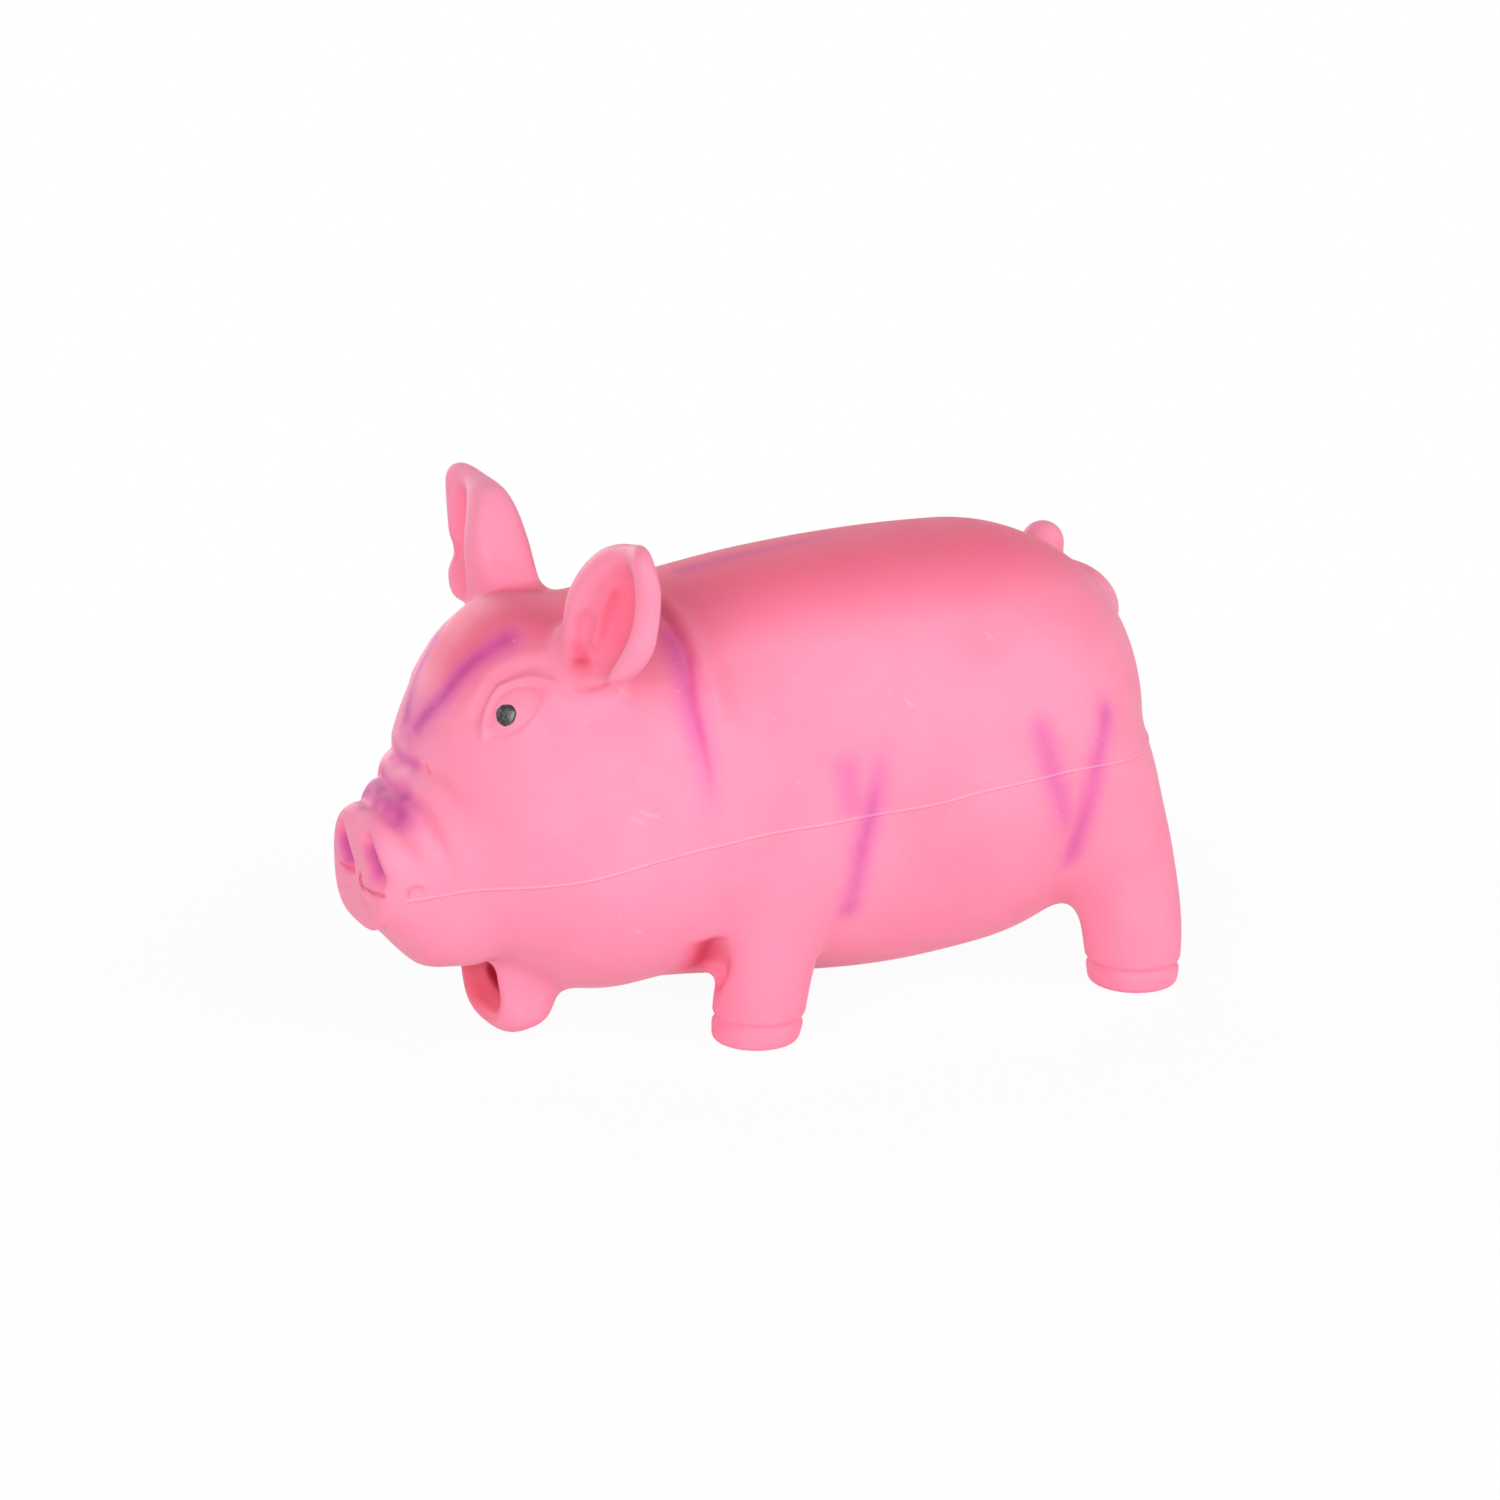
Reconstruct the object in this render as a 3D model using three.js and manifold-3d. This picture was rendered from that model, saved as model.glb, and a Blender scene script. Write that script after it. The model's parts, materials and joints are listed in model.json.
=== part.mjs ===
// A squeeze toy in the shape of a standing pig: a hollow latex skin, moulded in an upper and a lower half-mould,
// filled with fibre, with a reed voice in the throat that grunts through the open mouth when the body is squeezed.
// Millimetres, +Z up. The pig faces -X, its left side is -Y, and it stands on its four hooves at Z = 0.
import * as THREE from "three";
import { mergeVertices } from "three/addons/utils/BufferGeometryUtils.js";
import Module from "manifold-3d";

const wasm = await Module();
wasm.setup();

// Fits shared by every piece
const GAP = 0.3; // between pieces that rest against each other
const RUN = 0.4; // between a bending piece's round root and its seat
const WALL = 2.2; // latex skin

// Lengths along the pig, measured from the neck fold where the head meets the torso
const TORSO_LENGTH = 128;
const RUMP_ROUND = 46;
const RUMP_POWER = 2.3; // 2 is a ball end, more is blunter
const HEAD_LENGTH = 58;
const BROW_ROUND = 32;
const BROW_POWER = 2.2;

// The mould's parting line, where every section is widest
const SEAM_SNOUT_Z = 42;
const SEAM_NECK_Z = 50.5;
const SEAM_RUMP_Z = 61.5;

// Half-sections above, below and beside the parting line
const SECTION_POWER = 2.2; // 2 is an ellipse, more is squarer
const NECK = { up: 50, down: 39.5, side: 41.5 };
const BACK = { up: 53, down: 49, side: 44 };
const HAUNCH = { up: 46.5, down: 44, side: 43 };
const CROWN = { up: 54, down: 34, side: 40 };
const BROW = { up: 54, down: 27, side: 36 };
const CHEEK = { up: 50, down: 25.5, side: 31 };

// Snout: a nose disc and the skin rolls behind it
const SNOUT_REACH = 9; // nose disc ahead of the brow
const SNOUT_ROOT = 15; // how far the rolls run back over the head
const NOSE = { up: 12.5, down: 13, side: 16 };
const MUZZLE = { up: 25, down: 27, side: 25 };
const ROLL_COUNT = 3;
const ROLL_DEPTH = 1.3;
const NOSTRIL = { half_width: 2.1, half_height: 5.2, depth: 3, half_spacing: 6.2 };

// Mouth, lower jaw and throat
const JAW_SETBACK = 29; // jaw hinge ahead of the neck fold
const JAW_LENGTH = 15.8;
const JAW_HALF_WIDTH = 15;
const JAW_THICKNESS = 11.5;
const JAW_CUP = 3;
const JAW_LEAN = 24; // degrees, tip ahead of the hinge
const JAW_ROOT_RADIUS = 5.4;
const JAW_ROOT_HALF_WIDTH = 9;
const MOUTH = { ahead: 11.5, length: 17, half_width: 10, roof: 8 };
const MOUTH_WALL = 7; // solid latex behind and above the mouth
const THROAT_Z = 30.5;

// Ears
const EAR_SETBACK = 18.5; // ear root ahead of the neck fold
const EAR_ANGLE = 50; // degrees round the head, from the side up
const EAR_TWIST = 12; // degrees, rear of the ear turned outwards
const EAR_TILT = 7; // degrees, tip leaning in towards the other ear
const EAR_TURN = 67; // degrees from the root line that the leaf is turned, with its dish to the front
const EAR_LENGTH = 35.5;
const EAR_EDGE = 3; // rounding of the rim's outer edge
const EAR_RIM_SHARE = 0.8; // where the rim is highest, as a share of the half width
// Leaf at shares of its length: half width, middle towards the side, rim ahead, back behind, and depth of the dish
const EAR_ROOT = { half: 1, middle: 0, rim: 3.5, back: 5.5, dish: 0 };
const EAR_LOW = { half: 12.5, middle: 1.8, rim: 5.6, back: 11, dish: 7 };
const EAR_HIGH = { half: 14.3, middle: 2.6, rim: 4, back: 8, dish: 5.5 };
const EAR_SHOULDER = { half: 10.8, middle: 0.6, rim: 1.9, back: 5, dish: 1.8 };
const EAR_TIP = { half: 4.5, middle: -2.2, rim: 0.5, back: 2, dish: 0 };
const EAR_ROOT_RADIUS = 3;
const EAR_ROOT_HALF_WIDTH = 8;
const EAR_SEAT = 5; // solid latex under the root

// Legs
const FRONT_LEG = { from_neck: 18, half_track: 30, shoulder: 14.5, height: 44, draw_in: 4, draw_ahead: -3 };
const REAR_LEG = { from_rump: 9, half_track: 30.5, shoulder: 15.5, height: 58, draw_in: 5, draw_ahead: 11 };
const LEG_RADIUS = 11.2;
const HOOF_HEIGHT = 5.2;
const HOOF_RADIUS = 10.5;
const SOLE_RADIUS = 8.8;
const HOOF_GROOVE = 0.7;
const LEG_BORE_RADIUS = 5.5;
const SOLE_THICKNESS = 4;

// Tail
const TAIL_INSET = 7; // tail root ahead of the end of the rump
const TAIL_SINK = 3; // middle of the round root below the skin
const TAIL_ROOT_RADIUS = 7.2;
const TAIL_TIP_RADIUS = 4;
const TAIL_RISE = 9.5; // top of the curl off the root
const TAIL_SIDE = 12.5; // tip to the pig's right
const TAIL_REACH = 11; // tip ahead of the root
const TAIL_SEAT = 6; // solid latex round the root

// Painted eyes
const EYE_SETBACK = 41;
const EYE_ANGLE = 42;
const EYE_RADIUS = 2.5;
const EYE_THICKNESS = 0.7;

// Reed voice
const BARREL_RADIUS = 6;
const BARREL_WALL = 1.2;
const BARREL_LENGTH = 38;
const BARREL_SETBACK = 35; // barrel mouth ahead of the neck fold
const BLOCK_PLUG_LENGTH = 6;
const BLOCK_LENGTH = 27;
const CHANNEL_WIDTH = 3;
const CHANNEL_DEPTH = 2.2;
const REED_WIDTH = 5;
const REED_THICKNESS = 0.5;
const REED_LENGTH = 20;
const REED_LIFT = 2.5; // degrees that the free end stands off the block
const CLAMP_LENGTH = 4;
const CLAMP_WALL = 0.8;
const CAP_LENGTH = 3;
const CAP_RIM = 1.2;
const CAP_HOLE_RADIUS = 0.9;
const CAP_HOLE_CIRCLE = 2.7; // radius of the ring of holes
const CAP_HOLE_COUNT = 6;
const FILLING_SETBACK = 12; // fibre starts this far behind the neck fold

// Facets
const SKIN_SIDES = 26;
const LINING_SIDES = 14;
const LEG_SIDES = 14;
const TAIL_SIDES = 10;
const ROUND_SIDES = 14;
const TORSO_RINGS = 17;
const HEAD_RINGS = 13;
const LINING_RINGS = 9;

const latex = new THREE.MeshStandardMaterial({ color: 0xf58aa8, roughness: 0.55, metalness: 0 });
const paint = new THREE.MeshStandardMaterial({ color: 0x1b1a1c, roughness: 0.3, metalness: 0 });
const fibre = new THREE.MeshStandardMaterial({ color: 0xf2f0ea, roughness: 0.95, metalness: 0 });
const plastic = new THREE.MeshStandardMaterial({ color: 0xe9e6dc, roughness: 0.45, metalness: 0 });
const reedFilm = new THREE.MeshStandardMaterial({ color: 0xd8b46a, roughness: 0.35, metalness: 0 });

const radians = THREE.MathUtils.degToRad;
const lerp = THREE.MathUtils.lerp;

// Solids and meshes

function solid(geometry, matrix = new THREE.Matrix4()) {
  const bare = geometry.index ? geometry.toNonIndexed() : geometry.clone();
  bare.deleteAttribute("normal");
  bare.deleteAttribute("uv");
  const merged = mergeVertices(bare.applyMatrix4(matrix), 1e-4);
  return new wasm.Manifold(
    new wasm.Mesh({
      numProp: 3,
      vertProperties: merged.attributes.position.array,
      triVerts: new Uint32Array(merged.index.array),
    }),
  );
}

function geometryOf(manifold) {
  const { vertProperties, triVerts } = manifold.getMesh();
  const geometry = new THREE.BufferGeometry();
  geometry.setAttribute("position", new THREE.BufferAttribute(vertProperties, 3));
  geometry.setIndex(new THREE.BufferAttribute(triVerts, 1));
  geometry.computeVertexNormals();
  return geometry;
}

function piece(name, manifold, material) {
  const mesh = new THREE.Mesh(geometryOf(manifold), material);
  mesh.name = name;
  return mesh;
}

// A closed skin over rings of points, each ring with the same count, capped at both ends.
function loft(rings) {
  const sides = rings[0].length;
  const points = rings.flat();
  const faces = [];
  for (let i = 0; i + 1 < rings.length; i++) {
    for (let j = 0; j < sides; j++) {
      const a = i * sides + j;
      const b = i * sides + ((j + 1) % sides);
      faces.push(a, b, a + sides, b, b + sides, a + sides);
    }
  }
  for (const [ring, last] of [[rings[0], false], [rings.at(-1), true]]) {
    const first = last ? (rings.length - 1) * sides : 0;
    const centre = points.length;
    points.push(ring.reduce((sum, p) => sum.add(p), new THREE.Vector3()).divideScalar(sides));
    for (let j = 0; j < sides; j++) {
      const a = first + j;
      const b = first + ((j + 1) % sides);
      faces.push(...(last ? [centre, a, b] : [centre, b, a]));
    }
  }
  const geometry = new THREE.BufferGeometry().setFromPoints(points);
  geometry.setIndex(faces);
  const made = solid(geometry);
  if (made.volume() > 0) return made;
  geometry.setIndex(faces.toReversed());
  return solid(geometry);
}

// A smooth value through [place, value] points, by cubic pieces with the slopes of their neighbours.
function through(points) {
  const slope = (i) => {
    const [x0, y0] = points[Math.max(i - 1, 0)];
    const [x1, y1] = points[Math.min(i + 1, points.length - 1)];
    return (y1 - y0) / (x1 - x0);
  };
  return (x) => {
    const last = points.length - 2;
    let i = 0;
    while (i < last && x > points[i + 1][0]) i++;
    const [x0, y0] = points[i];
    const [x1, y1] = points[i + 1];
    const width = x1 - x0;
    const t = THREE.MathUtils.clamp((x - x0) / width, 0, 1);
    const a = slope(i) * width;
    const b = slope(i + 1) * width;
    return y0 + t * (a + t * (3 * (y1 - y0) - 2 * a - b + t * (a + b - 2 * (y1 - y0))));
  };
}

const KEYS = ["up", "down", "side"];

// Values that change along a form, from [place, {key: value}] stations.
function sectionsThrough(stations) {
  const keys = Object.keys(stations[0][1]);
  const curves = keys.map((key) => through(stations.map(([place, values]) => [place, values[key]])));
  return (place) => Object.fromEntries(keys.map((key, k) => [key, curves[k](place)]));
}

// One point of a section at an angle from the pig's left side, up over the top.
function sectionPoint(x, seamZ, half, grow, angle) {
  const round = (v) => Math.sign(v) * Math.abs(v) ** (2 / SECTION_POWER);
  const across = round(Math.cos(angle));
  const rise = round(Math.sin(angle));
  const tall = rise > 0 ? half.up : half.down;
  return new THREE.Vector3(x, -across * (half.side + grow), seamZ + rise * (tall + grow));
}

function section(x, seamZ, half, grow, sides) {
  const angles = Array.from({ length: sides }, (_, j) => (2 * Math.PI * j) / sides);
  return angles.map((angle) => sectionPoint(x, seamZ, half, grow, angle));
}

// How much of a section is left inside a rounded end.
function endRound(depth, round, power) {
  const t = THREE.MathUtils.clamp(1 - depth / round, 0, 1);
  return (1 - t ** power) ** (1 / power);
}

function scaled(half, share) {
  return Object.fromEntries(KEYS.map((key) => [key, half[key] * share]));
}

// Torso

const torsoSections = sectionsThrough([
  [0, NECK],
  [0.45, BACK],
  [1, HAUNCH],
]);

function torsoSeam(x) {
  return lerp(SEAM_NECK_Z, SEAM_RUMP_Z, x / TORSO_LENGTH);
}

function torsoForm(grow, start, rings, sides) {
  const end = TORSO_LENGTH + grow;
  const made = [];
  for (let i = 0; i < rings; i++) {
    const x = start + (end - start) * Math.sin((Math.PI / 2) * (i / rings));
    const left = endRound(end - x, RUMP_ROUND + grow, RUMP_POWER);
    made.push(section(x, torsoSeam(x), scaled(torsoSections(x / TORSO_LENGTH), left), grow * left, sides));
  }
  const last = end - WALL / 40;
  const tip = endRound(WALL / 40, RUMP_ROUND + grow, RUMP_POWER);
  made.push(section(last, torsoSeam(last), scaled(torsoSections(1), tip), grow * tip, sides));
  return loft(made);
}

// Head

const headSections = sectionsThrough([
  [0, NECK],
  [0.32, CROWN],
  [0.68, BROW],
  [1, CHEEK],
]);

function headSeam(reach) {
  return lerp(SEAM_NECK_Z, SEAM_SNOUT_Z, reach / (HEAD_LENGTH + SNOUT_REACH));
}

// The head's half-section at a reach ahead of the neck fold.
function headHalf(reach, grow) {
  const left = endRound(HEAD_LENGTH + grow - reach, BROW_ROUND + grow, BROW_POWER);
  return scaled(headSections(reach / HEAD_LENGTH), left);
}

function headForm(grow, start, rings, sides) {
  const end = HEAD_LENGTH + grow;
  const made = [];
  for (let i = 0; i < rings; i++) {
    const reach = start + (end - start) * Math.sin((Math.PI / 2) * (i / rings));
    made.push(section(-reach, headSeam(reach), headHalf(reach, grow), grow, sides));
  }
  const last = end - WALL / 40;
  made.push(section(-last, headSeam(last), headHalf(last, grow), 0, sides));
  return loft(made);
}

// A frame on the head's surface: the point, its outward normal, and the directions back and round the side.
function headFrame(reach, angle, side) {
  const at = (r, a) => {
    const p = sectionPoint(-r, headSeam(r), headHalf(r, 0), 0, a);
    return new THREE.Vector3(p.x, p.y * side, p.z);
  };
  const step = 0.05;
  const point = at(reach, radians(angle));
  const back = at(reach - step, radians(angle)).sub(point).normalize();
  const down = at(reach, radians(angle - step)).sub(point).normalize();
  const normal = new THREE.Vector3().crossVectors(down, back).normalize();
  if (normal.dot(new THREE.Vector3(0, point.y, point.z - headSeam(reach))) < 0) normal.negate();
  return { point, back, down, normal };
}

// Flaps and their round roots

// A cupped flap that grows along +Y from a root along X, hollow on its +Z side, with a rounded tip.
function flapForm({ length, halfWidth, thickness, cup, sweep, rootShare, rings, sides }) {
  const made = [];
  for (let i = 0; i <= rings; i++) {
    const along = Math.sin((Math.PI / 2) * (i / (rings + 0.4)));
    const fullness = Math.sqrt(1 - Math.max(0, (along - 0.4) / 0.6) ** 2);
    const wide = halfWidth * fullness * lerp(rootShare, 1, Math.min(1, along / 0.4));
    const thick = thickness * Math.min(1, fullness * 1.3);
    const ring = [];
    for (let j = 0; j < sides; j++) {
      const angle = (2 * Math.PI * j) / sides;
      const s = Math.sin(angle);
      const hollow = cup * Math.min(1, along / 0.3) * fullness * s * s;
      const u = wide * Math.cos(angle) - sweep * along * along;
      ring.push(new THREE.Vector3(u, length * along, (thick / 2) * s - hollow));
    }
    made.push(ring);
  }
  return loft(made);
}

// A round bar along X with domed ends.
function rootBar(radius, halfWidth) {
  const bar = new THREE.CapsuleGeometry(radius, 2 * halfWidth, 3, ROUND_SIDES);
  return solid(bar, new THREE.Matrix4().makeRotationZ(Math.PI / 2));
}

// Lower jaw

const jawGroup = new THREE.Group();
{
  const bottom = headSeam(JAW_SETBACK) - headHalf(JAW_SETBACK, 0).down;
  jawGroup.position.set(-JAW_SETBACK, 0, bottom);
  const across = new THREE.Vector3(0, 1, 0);
  const lean = radians(JAW_LEAN);
  const along = new THREE.Vector3(-Math.sin(lean), 0, -Math.cos(lean));
  const face = new THREE.Vector3().crossVectors(across, along);
  jawGroup.quaternion.setFromRotationMatrix(new THREE.Matrix4().makeBasis(across, along, face));
  jawGroup.updateMatrix();
}

function jawForm() {
  const lip = flapForm({
    length: JAW_LENGTH,
    halfWidth: JAW_HALF_WIDTH,
    thickness: JAW_THICKNESS,
    cup: JAW_CUP,
    sweep: 0,
    rootShare: 0.75,
    rings: 6,
    sides: 14,
  });
  return lip.add(rootBar(JAW_ROOT_RADIUS, JAW_ROOT_HALF_WIDTH));
}

jawGroup.add(piece("lower_jaw", jawForm(), latex));
const jawSeat = rootBar(JAW_ROOT_RADIUS + RUN, JAW_ROOT_HALF_WIDTH).transform(jawGroup.matrix.elements);

// Ears

const earSections = sectionsThrough([
  [0, EAR_ROOT],
  [0.3, EAR_LOW],
  [0.6, EAR_HIGH],
  [0.85, EAR_SHOULDER],
  [1, EAR_TIP],
]);

// A thick leaf that grows along +Y from a root along X, with its dished front turned towards -X.
function earForm(side) {
  const turn = radians(EAR_TURN);
  const rings = 8;
  const backSides = 7;
  const made = [];
  for (let i = 0; i <= rings; i++) {
    const share = Math.sin((Math.PI / 2) * (i / rings));
    const { half, middle, rim, back, dish } = earSections(share);
    const edge = rim - Math.min(EAR_EDGE, half / 2);
    const front = [
      [EAR_RIM_SHARE, rim],
      [EAR_RIM_SHARE / 2, rim - dish * 0.75],
      [0, rim - dish],
      [-EAR_RIM_SHARE / 2, rim - dish * 0.75],
      [-EAR_RIM_SHARE, rim],
    ];
    const rear = Array.from({ length: backSides }, (_, j) => {
      const angle = Math.PI * (1 - j / (backSides - 1));
      return [Math.cos(angle), edge - (edge + back) * Math.sin(angle)];
    });
    const ring = [...front, ...rear].map(([across, ahead]) => {
      const u = middle + half * across;
      const x = u * Math.cos(turn) - ahead * Math.sin(turn);
      return new THREE.Vector3(x, EAR_LENGTH * share, side * (u * Math.sin(turn) + ahead * Math.cos(turn)));
    });
    made.push(ring);
  }
  return loft(made);
}

function earGroup(name, side) {
  const { point, back, down, normal } = headFrame(EAR_SETBACK, EAR_ANGLE, side);
  const twist = radians(EAR_TWIST);
  const chord = back.multiplyScalar(Math.cos(twist)).addScaledVector(down, Math.sin(twist));
  chord.addScaledVector(normal, -chord.dot(normal)).normalize();
  const inward = new THREE.Vector3().crossVectors(normal, chord).multiplyScalar(side).normalize();
  const along = normal.clone().multiplyScalar(Math.cos(radians(EAR_TILT)));
  along.addScaledVector(inward, Math.sin(radians(EAR_TILT)));
  const face = new THREE.Vector3().crossVectors(chord, along);
  const group = new THREE.Group();
  group.position.copy(point).addScaledVector(normal, RUN);
  group.quaternion.setFromRotationMatrix(new THREE.Matrix4().makeBasis(chord, along, face));
  group.updateMatrix();
  const leaf = earForm(side).add(rootBar(EAR_ROOT_RADIUS, EAR_ROOT_HALF_WIDTH));
  group.add(piece(name, leaf, latex));
  return group;
}

const LEFT = 1;
const RIGHT = -1;
const earLeft = earGroup("ear_left", LEFT);
const earRight = earGroup("ear_right", RIGHT);

// Head skin: hollow, with a solid mouth, seats for the ears and the jaw, and a throat for the voice

const throatBore = solid(
  new THREE.CylinderGeometry(BARREL_RADIUS + GAP, BARREL_RADIUS + GAP, HEAD_LENGTH, ROUND_SIDES),
  new THREE.Matrix4().makeRotationZ(Math.PI / 2).setPosition(HEAD_LENGTH / 2 - BARREL_SETBACK - GAP, 0, THROAT_Z),
);

const mouthCentre = new THREE.Vector3(
  -(JAW_SETBACK + MOUTH.ahead),
  0,
  headSeam(JAW_SETBACK + MOUTH.ahead) - headHalf(JAW_SETBACK + MOUTH.ahead, 0).down,
);

function mouthForm(grow) {
  const ball = new THREE.SphereGeometry(1, ROUND_SIDES, 8);
  const size = new THREE.Vector3(MOUTH.length / 2 + grow, MOUTH.half_width + grow, MOUTH.roof + grow);
  return solid(ball, new THREE.Matrix4().makeScale(...size).setPosition(mouthCentre));
}

function headSkin() {
  const seatOf = (group) =>
    rootBar(EAR_ROOT_RADIUS + RUN, EAR_ROOT_HALF_WIDTH).transform(group.matrix.elements);
  const paddingOf = (group) =>
    rootBar(EAR_ROOT_RADIUS + EAR_SEAT, EAR_ROOT_HALF_WIDTH).transform(group.matrix.elements);
  const throatWall = solid(
    new THREE.CylinderGeometry(BARREL_RADIUS + MOUTH_WALL, BARREL_RADIUS + MOUTH_WALL, JAW_SETBACK, ROUND_SIDES),
    new THREE.Matrix4().makeRotationZ(Math.PI / 2).setPosition(-JAW_SETBACK, 0, THROAT_Z - MOUTH_WALL / 2),
  );
  const hollow = headForm(-WALL, -1, LINING_RINGS, LINING_SIDES)
    .subtract(mouthForm(MOUTH_WALL))
    .subtract(throatWall)
    .subtract(paddingOf(earLeft))
    .subtract(paddingOf(earRight));
  return headForm(0, GAP, HEAD_RINGS, SKIN_SIDES)
    .subtract(hollow)
    .subtract(mouthForm(0))
    .subtract(throatBore)
    .subtract(jawSeat)
    .subtract(seatOf(earLeft))
    .subtract(seatOf(earRight));
}

// Snout: skin rolls that widen back over the head, and a nose disc with two nostrils

function snoutForm() {
  const length = SNOUT_REACH + SNOUT_ROOT;
  const steps = 3 * ROLL_COUNT;
  const made = [];
  for (let i = 0; i <= steps; i++) {
    const share = i / steps;
    const reach = HEAD_LENGTH + SNOUT_REACH - length * share;
    const swell = ROLL_DEPTH * Math.abs(Math.sin(Math.PI * ROLL_COUNT * share));
    const spread = share ** 0.8;
    const half = Object.fromEntries(KEYS.map((key) => [key, lerp(NOSE[key], MUZZLE[key], spread) + swell]));
    made.push(section(-reach, headSeam(reach), half, -ROLL_DEPTH, SKIN_SIDES));
  }
  return loft(made);
}

function nostril(side) {
  const ball = new THREE.SphereGeometry(1, 10, 6);
  const face = HEAD_LENGTH + SNOUT_REACH;
  const size = new THREE.Matrix4().makeScale(NOSTRIL.depth, NOSTRIL.half_width, NOSTRIL.half_height);
  return solid(ball, size.setPosition(-face, side * NOSTRIL.half_spacing, headSeam(face)));
}

function snoutSkin() {
  return snoutForm()
    .subtract(headForm(GAP, GAP, HEAD_RINGS, SKIN_SIDES))
    .subtract(nostril(LEFT))
    .subtract(nostril(RIGHT))
    .subtract(mouthForm(0));
}

// Legs: stubby hollow stems with a hoof band, cut to the torso's outline

function legOutline({ shoulder, height }) {
  const ankle = HOOF_HEIGHT + 0.8;
  const widest = height - shoulder * 0.8;
  const thigh = through([
    [ankle, LEG_RADIUS],
    [lerp(ankle, widest, 0.5), lerp(LEG_RADIUS, shoulder, 0.3)],
    [widest, shoulder],
  ]);
  const outline = [
    [0, SOLE_RADIUS],
    [1.3, HOOF_RADIUS - 0.3],
    [HOOF_HEIGHT - 0.5, HOOF_RADIUS],
    [HOOF_HEIGHT, HOOF_RADIUS - HOOF_GROOVE],
    [ankle, LEG_RADIUS],
  ];
  for (const share of [0.33, 0.67, 1]) {
    const z = lerp(ankle, widest, share);
    outline.push([z, thigh(z)]);
  }
  for (const turn of [30, 60, 80]) {
    const rise = (height - widest) * Math.sin(radians(turn));
    outline.push([widest + rise, shoulder * Math.cos(radians(turn))]);
  }
  return outline;
}

// A ring of a leg on the pig's left (1) or right (-1), drawn in and ahead as it rises.
function legRing(shape, z, radius, side) {
  const share = (z / shape.height) ** 1.6;
  return Array.from({ length: LEG_SIDES }, (_, j) => {
    const angle = (2 * Math.PI * j) / LEG_SIDES;
    const x = radius * Math.cos(angle) - shape.draw_ahead * share;
    return new THREE.Vector3(x, radius * Math.sin(angle) + side * shape.draw_in * share, z);
  });
}

// The leg's hollow, open into the torso at the top.
function legHollow(shape, side) {
  const radii = [LEG_BORE_RADIUS, LEG_BORE_RADIUS + 1, LEG_BORE_RADIUS + 2];
  return loft(
    radii.map((radius, i) => legRing(shape, lerp(SOLE_THICKNESS, shape.height - 4, i / 2), radius, side)),
  );
}

const frontX = FRONT_LEG.from_neck;
const rearX = TORSO_LENGTH - REAR_LEG.from_rump;
const legPlaces = [
  ["leg_front_left", FRONT_LEG, frontX, LEFT],
  ["leg_front_right", FRONT_LEG, frontX, RIGHT],
  ["leg_rear_left", REAR_LEG, rearX, LEFT],
  ["leg_rear_right", REAR_LEG, rearX, RIGHT],
];

const torsoClearance = torsoForm(GAP, -1, TORSO_RINGS, SKIN_SIDES);

function leg(name, shape, x, side) {
  const y = -side * shape.half_track;
  const stem = loft(legOutline(shape).map(([z, radius]) => legRing(shape, z, radius, side)));
  const made = stem
    .subtract(legHollow(shape, side))
    .translate([x, y, 0])
    .subtract(torsoClearance)
    .translate([-x, -y, 0]);
  const mesh = piece(name, largest(made), latex);
  mesh.position.set(x, y, 0);
  return mesh;
}

// The biggest of the bodies that a cut leaves.
function largest(manifold) {
  return manifold.decompose().reduce((best, one) => (one.volume() > best.volume() ? one : best));
}

// Tail: a round root that turns in the rump, and a curl that ends in an upright tip

const tailGroup = new THREE.Group();
{
  const ridge = (x) => {
    const left = endRound(TORSO_LENGTH - x, RUMP_ROUND, RUMP_POWER);
    return new THREE.Vector3(x, 0, torsoSeam(x) + torsoSections(x / TORSO_LENGTH).up * left);
  };
  const place = ridge(TORSO_LENGTH - TAIL_INSET);
  const back = ridge(TORSO_LENGTH - TAIL_INSET + 0.05).sub(place).normalize();
  const right = new THREE.Vector3(0, 1, 0);
  const normal = new THREE.Vector3().crossVectors(back, right);
  tailGroup.position.copy(place).addScaledVector(normal, -TAIL_SINK);
  tailGroup.quaternion.setFromRotationMatrix(new THREE.Matrix4().makeBasis(back, right, normal));
}

function tailForm() {
  const root = solid(new THREE.SphereGeometry(TAIL_ROOT_RADIUS, ROUND_SIDES, 9));
  const curl = new THREE.CatmullRomCurve3([
    new THREE.Vector3(0, 0, 0),
    new THREE.Vector3(TAIL_REACH * 0.12, TAIL_SIDE * 0.1, TAIL_RISE * 0.7),
    new THREE.Vector3(-TAIL_REACH * 0.2, TAIL_SIDE * 0.7, TAIL_RISE),
    new THREE.Vector3(-TAIL_REACH, TAIL_SIDE, TAIL_RISE * 0.7),
  ]);
  const steps = 8;
  const { normals, binormals } = curl.computeFrenetFrames(steps);
  const rings = [];
  for (let i = 0; i <= steps; i++) {
    const share = i / steps;
    const radius = lerp(TAIL_ROOT_RADIUS - 1, TAIL_TIP_RADIUS, Math.sqrt(share)) * (i === steps ? 0.6 : 1);
    const middle = curl.getPointAt(share);
    rings.push(
      Array.from({ length: TAIL_SIDES }, (_, j) => {
        const angle = (2 * Math.PI * j) / TAIL_SIDES;
        const point = middle.clone().addScaledVector(normals[i], radius * Math.cos(angle));
        return point.addScaledVector(binormals[i], radius * Math.sin(angle));
      }),
    );
  }
  return root.add(loft(rings));
}

tailGroup.add(piece("tail", tailForm(), latex));

// Torso skin: hollow, open at the neck and into the legs, with a seat for the tail

function tailBall(radius) {
  return solid(new THREE.SphereGeometry(radius, ROUND_SIDES, 9)).translate(tailGroup.position.toArray());
}

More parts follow.
